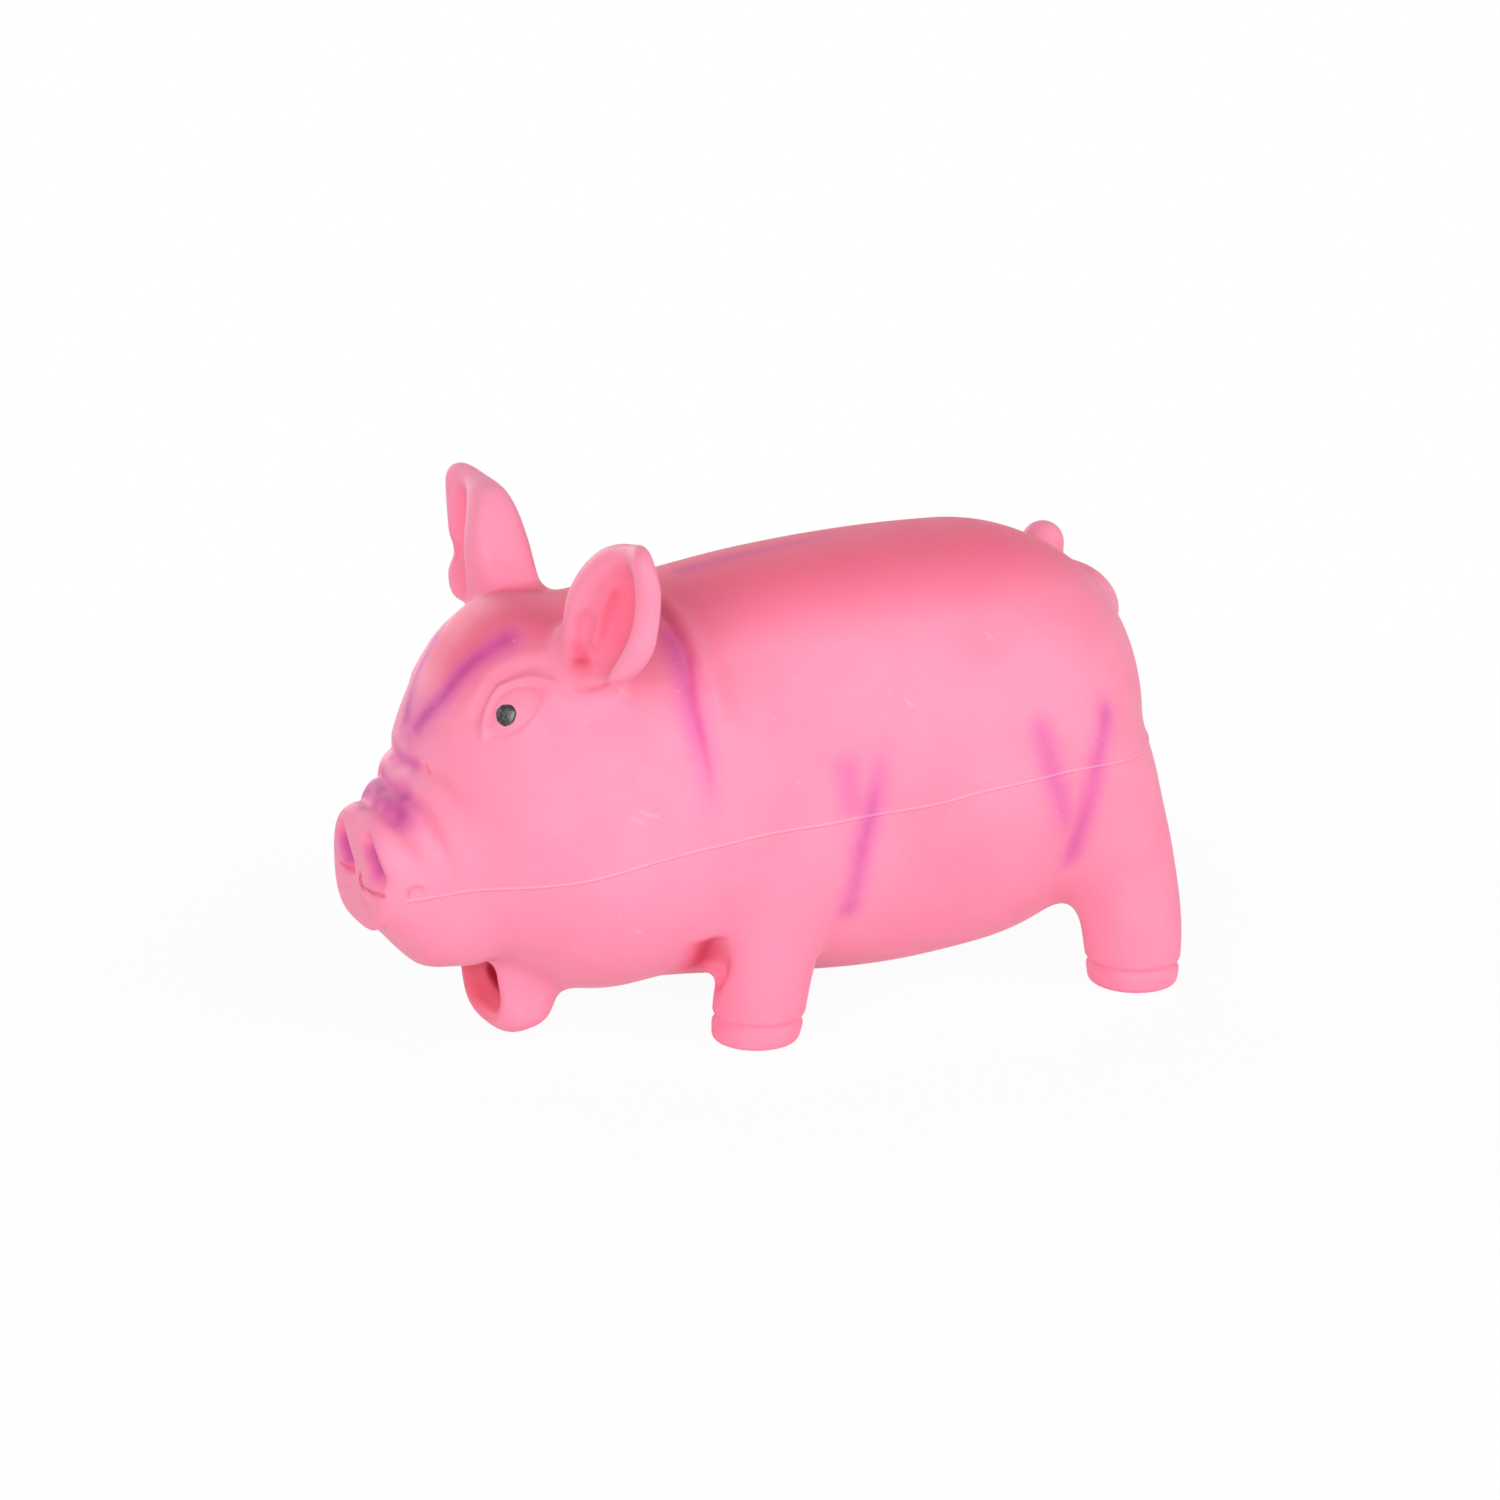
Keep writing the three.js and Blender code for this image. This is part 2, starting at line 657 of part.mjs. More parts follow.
// The room inside the torso, or a body that stands clear of its lining.
function torsoRoom(clearance) {
  return torsoForm(-(WALL + clearance), -1, LINING_RINGS, LINING_SIDES).subtract(
    tailBall(TAIL_ROOT_RADIUS + TAIL_SEAT + clearance),
  );
}

function torsoSkin() {
  let skin = torsoForm(0, 0, TORSO_RINGS, SKIN_SIDES).subtract(torsoRoom(0)).subtract(tailBall(TAIL_ROOT_RADIUS + RUN));
  for (const [, shape, x, side] of legPlaces) {
    skin = skin.subtract(legHollow(shape, side).translate([x, -side * shape.half_track, 0]));
  }
  return skin;
}

// Painted eyes: thin domed dots on the brow

function eye(name, side) {
  const { point, normal } = headFrame(EYE_SETBACK, EYE_ANGLE, side);
  const dome = new THREE.LatheGeometry(
    [
      new THREE.Vector2(0, 0),
      new THREE.Vector2(EYE_RADIUS, 0),
      new THREE.Vector2(EYE_RADIUS * 0.8, EYE_THICKNESS * 0.7),
      new THREE.Vector2(0, EYE_THICKNESS),
    ],
    16,
  );
  const mesh = piece(name, solid(dome), paint);
  mesh.position.copy(point).addScaledVector(normal, GAP);
  mesh.quaternion.setFromUnitVectors(new THREE.Vector3(0, 1, 0), normal);
  return mesh;
}

// Reed voice: a barrel in the throat, a reed on a channelled block inside it, and a holed cap towards the filling

const voiceGroup = new THREE.Group();
voiceGroup.position.set(-BARREL_SETBACK, 0, THROAT_Z);
const BORE_RADIUS = BARREL_RADIUS - BARREL_WALL;
const BLOCK_RADIUS = BORE_RADIUS - GAP;

// A round rod along +X from x to x + length.
function rod(radius, x, length) {
  const place = new THREE.Matrix4().makeRotationZ(Math.PI / 2).setPosition(x + length / 2, 0, 0);
  return solid(new THREE.CylinderGeometry(radius, radius, length, ROUND_SIDES), place);
}

function bar(x, length, width, bottom, height) {
  const place = new THREE.Matrix4().setPosition(x + length / 2, 0, bottom + height / 2);
  return solid(new THREE.BoxGeometry(length, width, height), place);
}

function voiceBarrel() {
  return rod(BARREL_RADIUS, 0, BARREL_LENGTH).subtract(rod(BORE_RADIUS, -1, BARREL_LENGTH + 2));
}

// A plug with a half-round tongue behind it, and a channel along the tongue's flat that runs out through the plug.
function reedBlock() {
  const tongue = rod(BLOCK_RADIUS - CLAMP_WALL - GAP, 1, BLOCK_LENGTH - 1);
  const flat = bar(BLOCK_PLUG_LENGTH, BLOCK_LENGTH, 2 * BARREL_RADIUS, 0, BARREL_RADIUS);
  const channel = bar(-1, BLOCK_LENGTH - 2, CHANNEL_WIDTH, -CHANNEL_DEPTH, CHANNEL_DEPTH + 1);
  return rod(BLOCK_RADIUS, GAP, BLOCK_PLUG_LENGTH - GAP).add(tongue.subtract(flat)).subtract(channel);
}

// The reed lies on the block's flat, held at its root, with its free end sprung up off the channel.
function reed() {
  const mesh = piece("reed", bar(0, REED_LENGTH, REED_WIDTH, 0, REED_THICKNESS), reedFilm);
  mesh.position.set(BLOCK_PLUG_LENGTH + GAP, 0, GAP);
  mesh.rotation.y = -radians(REED_LIFT);
  return mesh;
}

// A ring round the tongue that pinches the reed's root.
function reedClamp() {
  const start = BLOCK_PLUG_LENGTH + GAP;
  const inner = BLOCK_RADIUS - CLAMP_WALL;
  const ring = rod(BLOCK_RADIUS, start, CLAMP_LENGTH).subtract(rod(inner, start - 1, CLAMP_LENGTH + 2));
  const bottom = REED_THICKNESS + 2 * GAP + CLAMP_LENGTH * Math.sin(radians(REED_LIFT));
  const pad = bar(start, CLAMP_LENGTH, 2 * BARREL_RADIUS, bottom, BARREL_RADIUS);
  return ring.add(rod(inner + GAP, start, CLAMP_LENGTH).intersect(pad));
}

function inletCap() {
  const inside = BARREL_LENGTH - CAP_LENGTH;
  const rim = rod(BARREL_RADIUS, BARREL_LENGTH + GAP, CAP_RIM);
  let cap = rod(BLOCK_RADIUS, inside, CAP_LENGTH + GAP + CAP_RIM / 2).add(rim);
  for (let i = 0; i < CAP_HOLE_COUNT; i++) {
    const angle = (2 * Math.PI * i) / CAP_HOLE_COUNT;
    const hole = rod(CAP_HOLE_RADIUS, inside - 1, CAP_LENGTH + CAP_RIM + 3);
    const place = [0, CAP_HOLE_CIRCLE * Math.cos(angle), CAP_HOLE_CIRCLE * Math.sin(angle)];
    cap = cap.subtract(hole.translate(place));
  }
  return cap;
}

voiceGroup.add(
  piece("voice_barrel", voiceBarrel(), plastic),
  piece("reed_block", reedBlock(), plastic),
  reed(),
  piece("reed_clamp", reedClamp(), plastic),
  piece("inlet_cap", inletCap(), plastic),
);

// The whole pig, with its origin under the middle of its length

const pig = new THREE.Group();
pig.add(
  piece("torso_skin", torsoSkin(), latex),
  piece("head_skin", headSkin(), latex),
  piece("snout_skin", largest(snoutSkin()), latex),
  jawGroup,
  earLeft,
  earRight,
  ...legPlaces.map((place) => leg(...place)),
  tailGroup,
  eye("eye_left", LEFT),
  eye("eye_right", RIGHT),
  piece("fibre_filling", torsoRoom(GAP).trimByPlane([1, 0, 0], FILLING_SETBACK), fibre),
  voiceGroup,
);
const centre = new THREE.Box3().setFromObject(pig, true).getCenter(new THREE.Vector3());
pig.position.x = -centre.x;

export default pig;
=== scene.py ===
"""A pink latex pig, a squeeze toy that grunts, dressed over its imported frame."""

import json

import bpy
import numpy as np
from mathutils import Matrix, Vector


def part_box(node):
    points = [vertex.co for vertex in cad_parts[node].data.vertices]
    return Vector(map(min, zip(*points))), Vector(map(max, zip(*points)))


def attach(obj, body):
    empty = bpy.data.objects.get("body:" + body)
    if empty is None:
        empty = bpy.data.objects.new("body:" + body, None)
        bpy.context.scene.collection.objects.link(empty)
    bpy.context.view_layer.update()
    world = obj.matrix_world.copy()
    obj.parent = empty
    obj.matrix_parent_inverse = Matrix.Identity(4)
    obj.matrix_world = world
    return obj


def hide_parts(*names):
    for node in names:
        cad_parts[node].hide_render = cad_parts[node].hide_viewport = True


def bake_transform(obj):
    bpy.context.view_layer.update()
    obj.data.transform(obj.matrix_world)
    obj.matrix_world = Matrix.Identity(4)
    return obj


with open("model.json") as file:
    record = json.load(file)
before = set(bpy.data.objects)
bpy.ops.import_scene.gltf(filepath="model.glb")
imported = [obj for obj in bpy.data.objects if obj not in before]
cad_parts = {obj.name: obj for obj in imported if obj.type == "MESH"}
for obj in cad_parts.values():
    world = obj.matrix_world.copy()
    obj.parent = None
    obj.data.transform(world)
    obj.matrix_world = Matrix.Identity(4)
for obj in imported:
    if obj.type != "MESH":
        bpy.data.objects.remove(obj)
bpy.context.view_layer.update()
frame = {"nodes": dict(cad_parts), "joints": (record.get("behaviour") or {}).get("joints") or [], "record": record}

# Units: shapes are worked out in millimetres, and Blender objects are in metres

MM = 0.001
JOINTS = {joint["name"]: joint for joint in frame["joints"]}
SOLES = {mount["name"]: np.array(mount["pos_m"]) / MM for mount in frame["record"]["mounts"]}


def box(node):
    """The lowest and the highest corner of a CAD node."""
    return np.array(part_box(node)) / MM


def joint_place(name):
    return np.array(JOINTS[name]["pos_m"]) / MM


def link(name, data):
    """A new object in the scene for a mesh, a camera or a lamp."""
    piece = bpy.data.objects.new(name, data)
    bpy.context.collection.objects.link(piece)
    return piece


# The photograph's view

PHOTO_SIZE = 1500
VIEW_AZIMUTH = -27.0
VIEW_ELEVATION = 15.5
VIEW_ROLL = 1.2
VIEW_DISTANCE = 800.0
VIEW_TARGET = np.array([2.6, 0.0, 58.0])
TARGET_PIXEL = np.array([765.0, 751.5])
FOCAL_PIXELS = 3440.0
SENSOR_WIDTH = 36.0
NEAREST_SEEN = 0.01


def view_axes():
    """Right, up and back of the photograph's camera, and its place."""
    azimuth, elevation, roll = np.radians([VIEW_AZIMUTH, VIEW_ELEVATION, VIEW_ROLL])
    level = np.cos(elevation)
    back = np.array([np.sin(azimuth) * level, -np.cos(azimuth) * level, np.sin(elevation)])
    right = unit(np.cross(-back, [0, 0, 1]))
    up = np.cross(right, -back)
    turned_right = right * np.cos(roll) + up * np.sin(roll)
    turned_up = up * np.cos(roll) - right * np.sin(roll)
    return turned_right, turned_up, back, VIEW_TARGET + back * VIEW_DISTANCE


def add_camera():
    right, up, back, place = view_axes()
    camera = bpy.data.cameras.new("camera")
    camera.sensor_fit = "HORIZONTAL"
    camera.sensor_width = SENSOR_WIDTH
    camera.lens = FOCAL_PIXELS / PHOTO_SIZE * SENSOR_WIDTH
    offset = (TARGET_PIXEL - PHOTO_SIZE / 2) / PHOTO_SIZE
    camera.shift_x = -offset[0]
    camera.shift_y = offset[1]
    camera.clip_start = NEAREST_SEEN
    holder = link("camera", camera)
    turn = np.stack([right, up, back], 1)
    holder.matrix_world = Matrix.Translation(Vector(place * MM)) @ Matrix(turn).to_4x4()
    bpy.context.scene.camera = holder


# Curves and smooth joins

def curve(points, at):
    """A smooth curve through (place, value) points, flat beyond its ends."""
    place, value = np.array(points, float).T
    last = len(place) - 1
    before = np.maximum(np.arange(last + 1) - 1, 0)
    after = np.minimum(np.arange(last + 1) + 1, last)
    slope = (value[after] - value[before]) / (place[after] - place[before])
    i = np.clip(np.searchsorted(place, at, side="right") - 1, 0, last - 1)
    width = place[i + 1] - place[i]
    t = np.clip((at - place[i]) / width, 0, 1)
    a = slope[i] * width
    b = slope[i + 1] * width
    rise = value[i + 1] - value[i]
    return value[i] + t * (a + t * (3 * rise - 2 * a - b + t * (a + b - 2 * rise)))


def ease(t):
    """A smooth step from 0 to 1."""
    t = np.clip(t, 0, 1)
    return t * t * (3 - 2 * t)


SHORTEST = 1e-6


def unit(vectors):
    """Vectors at a length of 1."""
    return vectors / np.maximum(np.linalg.norm(vectors, axis=-1, keepdims=True), SHORTEST)


def turned(x, z, degrees):
    """Places along two axes that are turned about Y."""
    turn = np.radians(degrees)
    return x * np.cos(turn) + z * np.sin(turn), z * np.cos(turn) - x * np.sin(turn)


def join(a, b, soft):
    """The nearer of two surfaces, with a fillet."""
    share = np.clip(0.5 + 0.5 * (b - a) / soft, 0, 1)
    return b + (a - b) * share - soft * share * (1 - share)


def carve(a, b, soft):
    """A surface with another one cut out of it, with a rounded edge."""
    return -join(-a, b, soft)


def superellipse(a, b, power):
    return (np.abs(a) ** power + np.abs(b) ** power) ** (1 / power)


def slope_of(field, points, step):
    """The slope of a field at points, from four corners round each."""
    corners = np.array([[1, -1, -1], [-1, -1, 1], [-1, 1, -1], [1, 1, 1]], float)
    total = np.zeros((len(points), 3))
    for corner in corners:
        total += corner * field(points + corner * step)[:, None]
    return total / (4 * step)


SLOPE_STEP = 0.4
FLATTEST_SLOPE = 0.012


def as_distance(field):
    """Turns a field that is 1 on a surface into the distance to it, negative inside."""

    def distance(points, *details):
        slope = slope_of(lambda p: field(p, *details), points, SLOPE_STEP)
        steep = np.maximum(np.linalg.norm(slope, axis=1), FLATTEST_SLOPE)
        return (field(points, *details) - 1) / steep

    return distance


FAR = 50.0


def within(points, lowest, highest, field):
    """A field worked out only inside a box, and far away outside it."""
    inside = np.all((points > np.array(lowest)) & (points < np.array(highest)), axis=1)
    distance = np.full(len(points), FAR)
    if inside.any():
        distance[inside] = field(points[inside])
    return distance


def polyline(points, line):
    """Distance to a line through points, and the share of its length at the nearest place."""
    lengths = np.linalg.norm(np.diff(line, axis=0), axis=1)
    best = np.full(len(points), np.inf)
    share = np.zeros(len(points))
    done = 0.0
    for a, b, length in zip(line[:-1], line[1:], lengths):
        along = np.clip((points - a) @ (b - a) / length**2, 0, 1)
        distance = np.linalg.norm(points - a - np.outer(along, b - a), axis=1)
        closer = distance < best
        best = np.where(closer, distance, best)
        share = np.where(closer, (done + along * length) / lengths.sum(), share)
        done += length
    return best, share


def left_side(points):
    """Every point brought to the left half of the pig."""
    mirrored = points.copy()
    mirrored[:, 1] = -np.abs(points[:, 1])
    return mirrored


# Trunk: head and torso as one form of round sections that meet at the mould seam

NECK_X, RUMP_X = box("torso_skin")[:, 0]
NOSE_X = box("snout_skin")[0, 0]
HEAD_LENGTH = 58.0
SEAM_SNOUT_Z = 42.0
SEAM_NECK_Z = 50.5
SEAM_RUMP_Z = 61.5
SECTION_POWER = 2.2
BROW_ROUND = 32.0
BROW_POWER = 2.2
RUMP_ROUND = 46.0
RUMP_POWER = 2.3
HEAD_UP = ((0, 51), (0.3, 51.2), (0.62, 54.4), (1, 50))
HEAD_DOWN = ((0, 40), (0.22, 39.3), (0.4, 36), (0.68, 27.5), (1, 25.5))
HEAD_SIDE = ((0, 41.5), (0.32, 40), (0.68, 36), (1, 31))
TORSO_UP = ((0, 51), (0.25, 52.8), (0.55, 52.4), (1, 46))
TORSO_DOWN = ((0, 40), (0.45, 49.8), (0.75, 48.8), (1, 44.5))
TORSO_SIDE = ((0, 41.5), (0.45, 44), (1, 43))


def seam_height(x):
    ahead = (NECK_X - x) / (NECK_X - NOSE_X)
    behind = (x - NECK_X) / (RUMP_X - NECK_X)
    front = SEAM_NECK_Z + (SEAM_SNOUT_Z - SEAM_NECK_Z) * ahead
    rear = SEAM_NECK_Z + (SEAM_RUMP_Z - SEAM_NECK_Z) * behind
    return np.where(x < NECK_X, front, rear)


@as_distance
def trunk(points):
    x, y, z = points.T
    ahead = x < NECK_X
    reach = NECK_X - x
    head = np.clip(reach / HEAD_LENGTH, 0, 1)
    torso = np.clip(-reach / (RUMP_X - NECK_X), 0, 1)
    up = np.where(ahead, curve(HEAD_UP, head), curve(TORSO_UP, torso))
    down = np.where(ahead, curve(HEAD_DOWN, head), curve(TORSO_DOWN, torso))
    side = np.where(ahead, curve(HEAD_SIDE, head), curve(TORSO_SIDE, torso))
    rise = z - seam_height(x)
    ring = superellipse(y / side, rise / np.where(rise > 0, up, down), SECTION_POWER)
    brow = (reach - HEAD_LENGTH + BROW_ROUND) / BROW_ROUND
    rump = (x - RUMP_X + RUMP_ROUND) / RUMP_ROUND
    end = np.clip(np.where(ahead, brow, rump), 0, None)
    return superellipse(ring, end, np.where(ahead, BROW_POWER, RUMP_POWER))


# Snout: a flat nose disc with a round rim, widening into the muzzle

SNOUT_LENGTH = 27.0
SNOUT_RIM = 2.4
SNOUT_ROOT = 8.0
SNOUT_POWER_ABOVE = 2.3
SNOUT_POWER_BELOW = 3.1
SNOUT_END_POWER = 4.5
SNOUT_UP = ((0, 12.6), (0.07, 13), (0.21, 14.4), (0.35, 17), (0.6, 21), (1, 23))
SNOUT_DOWN = ((0, 13.4), (0.1, 12.6), (0.18, 15.0), (0.3, 19.0), (0.45, 23.4), (0.7, 25), (1, 26))
SNOUT_SIDE = ((0, 15.0), (0.3, 19.0), (0.65, 24), (1, 27))
SNOUT_FILLET = 4.5


@as_distance
def snout(points):
    x, y, z = points.T
    back = np.clip((x - NOSE_X) / SNOUT_LENGTH, 0, 1)
    rise = z - seam_height(np.clip(x, NOSE_X, None))
    tall = np.where(rise > 0, curve(SNOUT_UP, back), curve(SNOUT_DOWN, back))
    power = np.where(rise > 0, SNOUT_POWER_ABOVE, SNOUT_POWER_BELOW)
    ring = superellipse(y / curve(SNOUT_SIDE, back), rise / tall, power)
    face = np.clip((NOSE_X + SNOUT_RIM - x) / SNOUT_RIM, 0, None)
    root = np.clip((x - NOSE_X - SNOUT_LENGTH + SNOUT_ROOT) / SNOUT_ROOT, 0, None)
    return superellipse(ring, face + root, SNOUT_END_POWER)


# Legs: stems that lean into the trunk, with a moulded band above each flat sole

LEG_TOP = 0.72
SOLE_EDGE = 1.6
HOOF_HEIGHT = 5.4
HOOF_GROOVE = 0.9
HOOF_GROOVE_WIDTH = 0.8
FRONT_LEG = dict(
    sole=SOLES["sole_front_left"],
    height=60.0,
    draw_in=3.0,
    draw_back=10.0,
    bend=1.1,
    fillet=4.0,
    radius=((0, 10.0), (0.08, 10.6), (0.22, 11.0), (0.45, 12.2), (1, 15.0)),
)
REAR_LEG = dict(
    sole=SOLES["sole_rear_left"],
    height=74.0,
    draw_in=5.0,
    draw_back=-26.0,
    bend=2.0,
    fillet=10.0,
    radius=((0, 10.7), (0.07, 11.4), (0.18, 12.1), (0.42, 13.0), (1, 17.0)),
)


def leg(points, shape):
    x, y, z = points.T
    share = np.clip(z / shape["height"], 0, 1)
    lean = share ** shape["bend"]
    dome = np.clip((share - LEG_TOP) / (1 - LEG_TOP), 0, 1)
    radius = curve(shape["radius"], share) * np.sqrt(np.clip(1 - dome**2, 0, 1))
    radius = radius - HOOF_GROOVE * np.exp(-(((z - HOOF_HEIGHT) / HOOF_GROOVE_WIDTH) ** 2))
    ahead = x - shape["sole"][0] - shape["draw_back"] * lean
    aside = y - shape["sole"][1] - shape["draw_in"] * lean
    stem = carve(np.hypot(ahead, aside) - radius, shape["height"] - z, 2 * SOLE_EDGE)
    return carve(stem, z, SOLE_EDGE)


# Ears: thick leaves that face forward, with a dished front, on the root lines of their joints

EAR_ROOT = joint_place("ear_left_flop")
EAR_CHORD = np.array(JOINTS["ear_left_flop"]["axis"])
EAR_ALONG = np.array([-0.07, -0.66, 0.75])
EAR_TURN = 67.0
EAR_LENGTH = 39.5
EAR_FULL = 0.4
EAR_OUTLINE_POWER = 2.0
EAR_SECTION_POWER = 2.6
EAR_EDGE = 5.5
EAR_HALF_WIDTH = ((0, 8.5), (0.15, 10.6), (0.32, 13.4), (0.6, 14.4), (0.8, 12.2), (1, 10.6))
EAR_MIDDLE = ((0, -2.7), (0.32, -0.3), (0.63, 0.5), (0.86, 1.5), (1, 1.0))
EAR_RIM = ((0, 9.7), (0.32, 9.7), (0.63, 6.1), (0.87, 5.1), (1, 5.8))
EAR_RIM_TILT = 2.3
EAR_BACK = ((0, 8.7), (0.3, 9.6), (0.6, 8.7), (0.85, 6.6), (1, 5.0))
EAR_BACK_MIDDLE = 0.56
EAR_BACK_TILT = 0.53
EAR_BACK_LIMITS = (0.15, 1.4)
EAR_THIN = 2.8
EAR_DISH_CENTRE = np.array([1.6, 19.0, 8.0])
EAR_DISH_RADII = np.array([8.2, 14.5, 7.8])
EAR_DISH_LEAN = (-0.17, -0.25)
EAR_DISH_EDGE = 5.0
EAR_FILLET = 6.0
EAR_SINK = 3.0


def ear_axes():
    """Directions across, along and ahead of the left ear."""
    along = unit(EAR_ALONG - EAR_CHORD * (EAR_ALONG @ EAR_CHORD))
    out = np.cross(EAR_CHORD, along)
    turn = np.radians(EAR_TURN)
    across = EAR_CHORD * np.cos(turn) + out * np.sin(turn)
    return np.stack([across, along, out * np.cos(turn) - EAR_CHORD * np.sin(turn)])


EAR_AXES = ear_axes()


def in_ear(points):
    """Points in the left ear's own axes, from its root."""
    return (points - EAR_ROOT) @ EAR_AXES.T


@as_distance
def ear_leaf(points):
    u, v, w = in_ear(points).T
    share = np.clip(v / EAR_LENGTH, 0, None)
    tip = np.clip((share - EAR_FULL) / (1 - EAR_FULL), 0, None)
    aside = (u - curve(EAR_MIDDLE, share)) / curve(EAR_HALF_WIDTH, share)
    tilt = EAR_RIM_TILT * (1 - np.clip(share, 0, 1) / 2)
    edge = curve(EAR_RIM, share) - EAR_EDGE + tilt * np.clip(aside, -1, 1)
    back = curve(EAR_BACK, share) * np.clip(EAR_BACK_MIDDLE - EAR_BACK_TILT * aside, *EAR_BACK_LIMITS)
    ahead = w - edge
    thick = np.where(ahead > 0, EAR_EDGE, np.maximum(edge + back, EAR_THIN))
    return superellipse(superellipse(aside, tip, EAR_OUTLINE_POWER), ahead / thick, EAR_SECTION_POWER)


def ear(points):
    return np.maximum(ear_leaf(points), -in_ear(points)[:, 1] - EAR_SINK)


def in_dish(points):
    """Points in the axes of the left ear's dish, 1 away from its middle on its surface."""
    away = in_ear(points) - EAR_DISH_CENTRE
    lean = np.outer(away[:, 1], [EAR_DISH_LEAN[0], 0, EAR_DISH_LEAN[1]])
    return (away - lean) / EAR_DISH_RADII


@as_distance
def ear_dish(points):
    return np.linalg.norm(in_dish(points), axis=1)


# Tail: a round root in the rump, and a curl that ends in an upright tip

TAIL_ROOT = joint_place("tail_wag")
TAIL_MOUND_RADII = (11.2, 9.0, 7.5)
TAIL_MOUND_SLOPE = 41.0
TAIL_CURL = ((0, 0, 0), (0.5, 5, 0.5), (-1.5, 10, 2.5), (-3.2, 12.5, 6.5), (-3.4, 12.5, 11.2))
TAIL_RADIUS = 6.2
TAIL_TAPER = 1.0
TAIL_TAPER_POWER = 0.6
TAIL_STEPS = 24
TAIL_FILLET = 3.0


def tail_path():
    knots = np.array(TAIL_CURL, float)
    place = np.arange(len(knots)) / (len(knots) - 1)
    fine = np.linspace(0, 1, TAIL_STEPS)
    line = [curve(np.stack([place, knots[:, axis]], 1), fine) for axis in range(3)]
    return TAIL_ROOT + np.stack(line, 1)


def tail(points):
    distance, share = polyline(points, tail_path())
    return distance - TAIL_RADIUS + TAIL_TAPER * share**TAIL_TAPER_POWER


def tail_mound(points):
    """The swelling of the rump round the root of the tail."""
    x, y, z = (points - TAIL_ROOT).T
    forth, outward = turned(x, z, -TAIL_MOUND_SLOPE)
    along, across, out = TAIL_MOUND_RADII
    ring = np.hypot(forth / along, y / across)
    return (np.hypot(ring, outward / out) - 1) * out


# Mouth: a hanging lip, hollowed from the front, under a pocket that leads to the throat

LIP = dict(centre=(-62.9, 0, 11.6), radii=(8.4, 14.4, 11.2), lean=14.0, power=2.7)
SCOOP = dict(centre=(-72.6, 0, 13.6), radii=(11.2, 11.0, 10.0), lean=15.0, power=2.6)
POCKET = dict(centre=(-71.6, 0, 21.5), radii=(8.5, 10.6, 6.5), lean=-15.0, power=2.2)
THROAT = dict(centre=(-62.5, 0, 11.5), radii=(5.5, 8.6, 4.2), lean=-15.0, power=2.0)
LIP_FILLET = 7.0
MOUTH_EDGE = 3.0
THROAT_EDGE = 1.2


@as_distance
def blob(points, shape):
    """A rounded block that leans about Y, positive with its top towards the nose."""
    x, y, z = (points - np.array(shape["centre"])).T
    forth, upward = turned(x, z, shape["lean"])
    along, across, tall = shape["radii"]
    ring = superellipse(forth / along, y / across, shape["power"])
    return superellipse(ring, upward / tall, shape["power"])


# Boxes that each hold one part of the skin, with room for its fillet
MOUTH_BOX = ((-90, -30, -10), (-40, 10, 45))
SNOUT_BOX = ((-120, -60, 0), (-60, 10, 100))
EAR_BOX = ((-90, -75, 70), (-15, 0, 140))
TAIL_BOX = ((60, -40, 60), (120, 40, 125))
LEG_ROOM_LOW = np.array([40, 30, 20])
LEG_ROOM_HIGH = np.array([40, 40, 15])


def leg_box(shape):
    lowest = shape["sole"] - LEG_ROOM_LOW
    highest = shape["sole"] + LEG_ROOM_HIGH
    highest[2] += shape["height"]
    return lowest, highest


def mouth_part(points, shape):
    return within(points, *MOUTH_BOX, lambda p: blob(p, shape))


def skin(points):
    """Distance to the whole moulded skin, without its small relief."""
    left = left_side(points)
    surface = trunk(left)
    surface = join(surface, within(left, *SNOUT_BOX, snout), SNOUT_FILLET)
    for shape in (FRONT_LEG, REAR_LEG):
        stem = within(left, *leg_box(shape), lambda p: leg(p, shape))
        surface = join(surface, stem, shape["fillet"])
    surface = carve(surface, mouth_part(left, POCKET), MOUTH_EDGE)
    surface = join(surface, mouth_part(left, LIP), LIP_FILLET)
    surface = carve(surface, mouth_part(left, SCOOP), MOUTH_EDGE)
    surface = carve(surface, mouth_part(left, THROAT), THROAT_EDGE)
    surface = join(surface, within(left, *EAR_BOX, ear), EAR_FILLET)
    surface = carve(surface, within(left, *EAR_BOX, ear_dish), EAR_DISH_EDGE)
    return join(surface, within(points, *TAIL_BOX, tail_mound), TAIL_FILLET)


# Meshing: one point in each grid cell that the surface crosses

ROUGH = 4
ROUGH_BAND = 2
FINE_BAND = 4


def grid_values(field, lowest, highest, step):
    """Values of a field on a grid: worked out closely near its surface, and roughly elsewhere."""
    wide = step * ROUGH
    blocks = np.ceil((np.array(highest) - lowest) / wide).astype(int)
    places = np.stack(np.meshgrid(*[np.arange(n) for n in blocks], indexing="ij"), -1)
    rough = field((lowest + wide * places).reshape(-1, 3)).reshape(blocks)
    values = rough
    for axis in range(3):
        values = np.repeat(values, ROUGH, axis=axis)
    pairs = np.stack(np.nonzero(np.abs(values) < ROUGH_BAND * wide), 1)
    pairs = pairs[np.all(pairs % 2 == 0, axis=1)]
    halfway = field(lowest + step * pairs)
    close = pairs[np.abs(halfway) < FINE_BAND * step]
    band = np.zeros(values.shape, bool)
    for corner in np.ndindex(2, 2, 2):
        values[tuple((pairs + corner).T)] = halfway
        band[tuple((close + corner).T)] = True
    values[band] = field(lowest + step * np.stack(np.nonzero(band), 1))
    return values


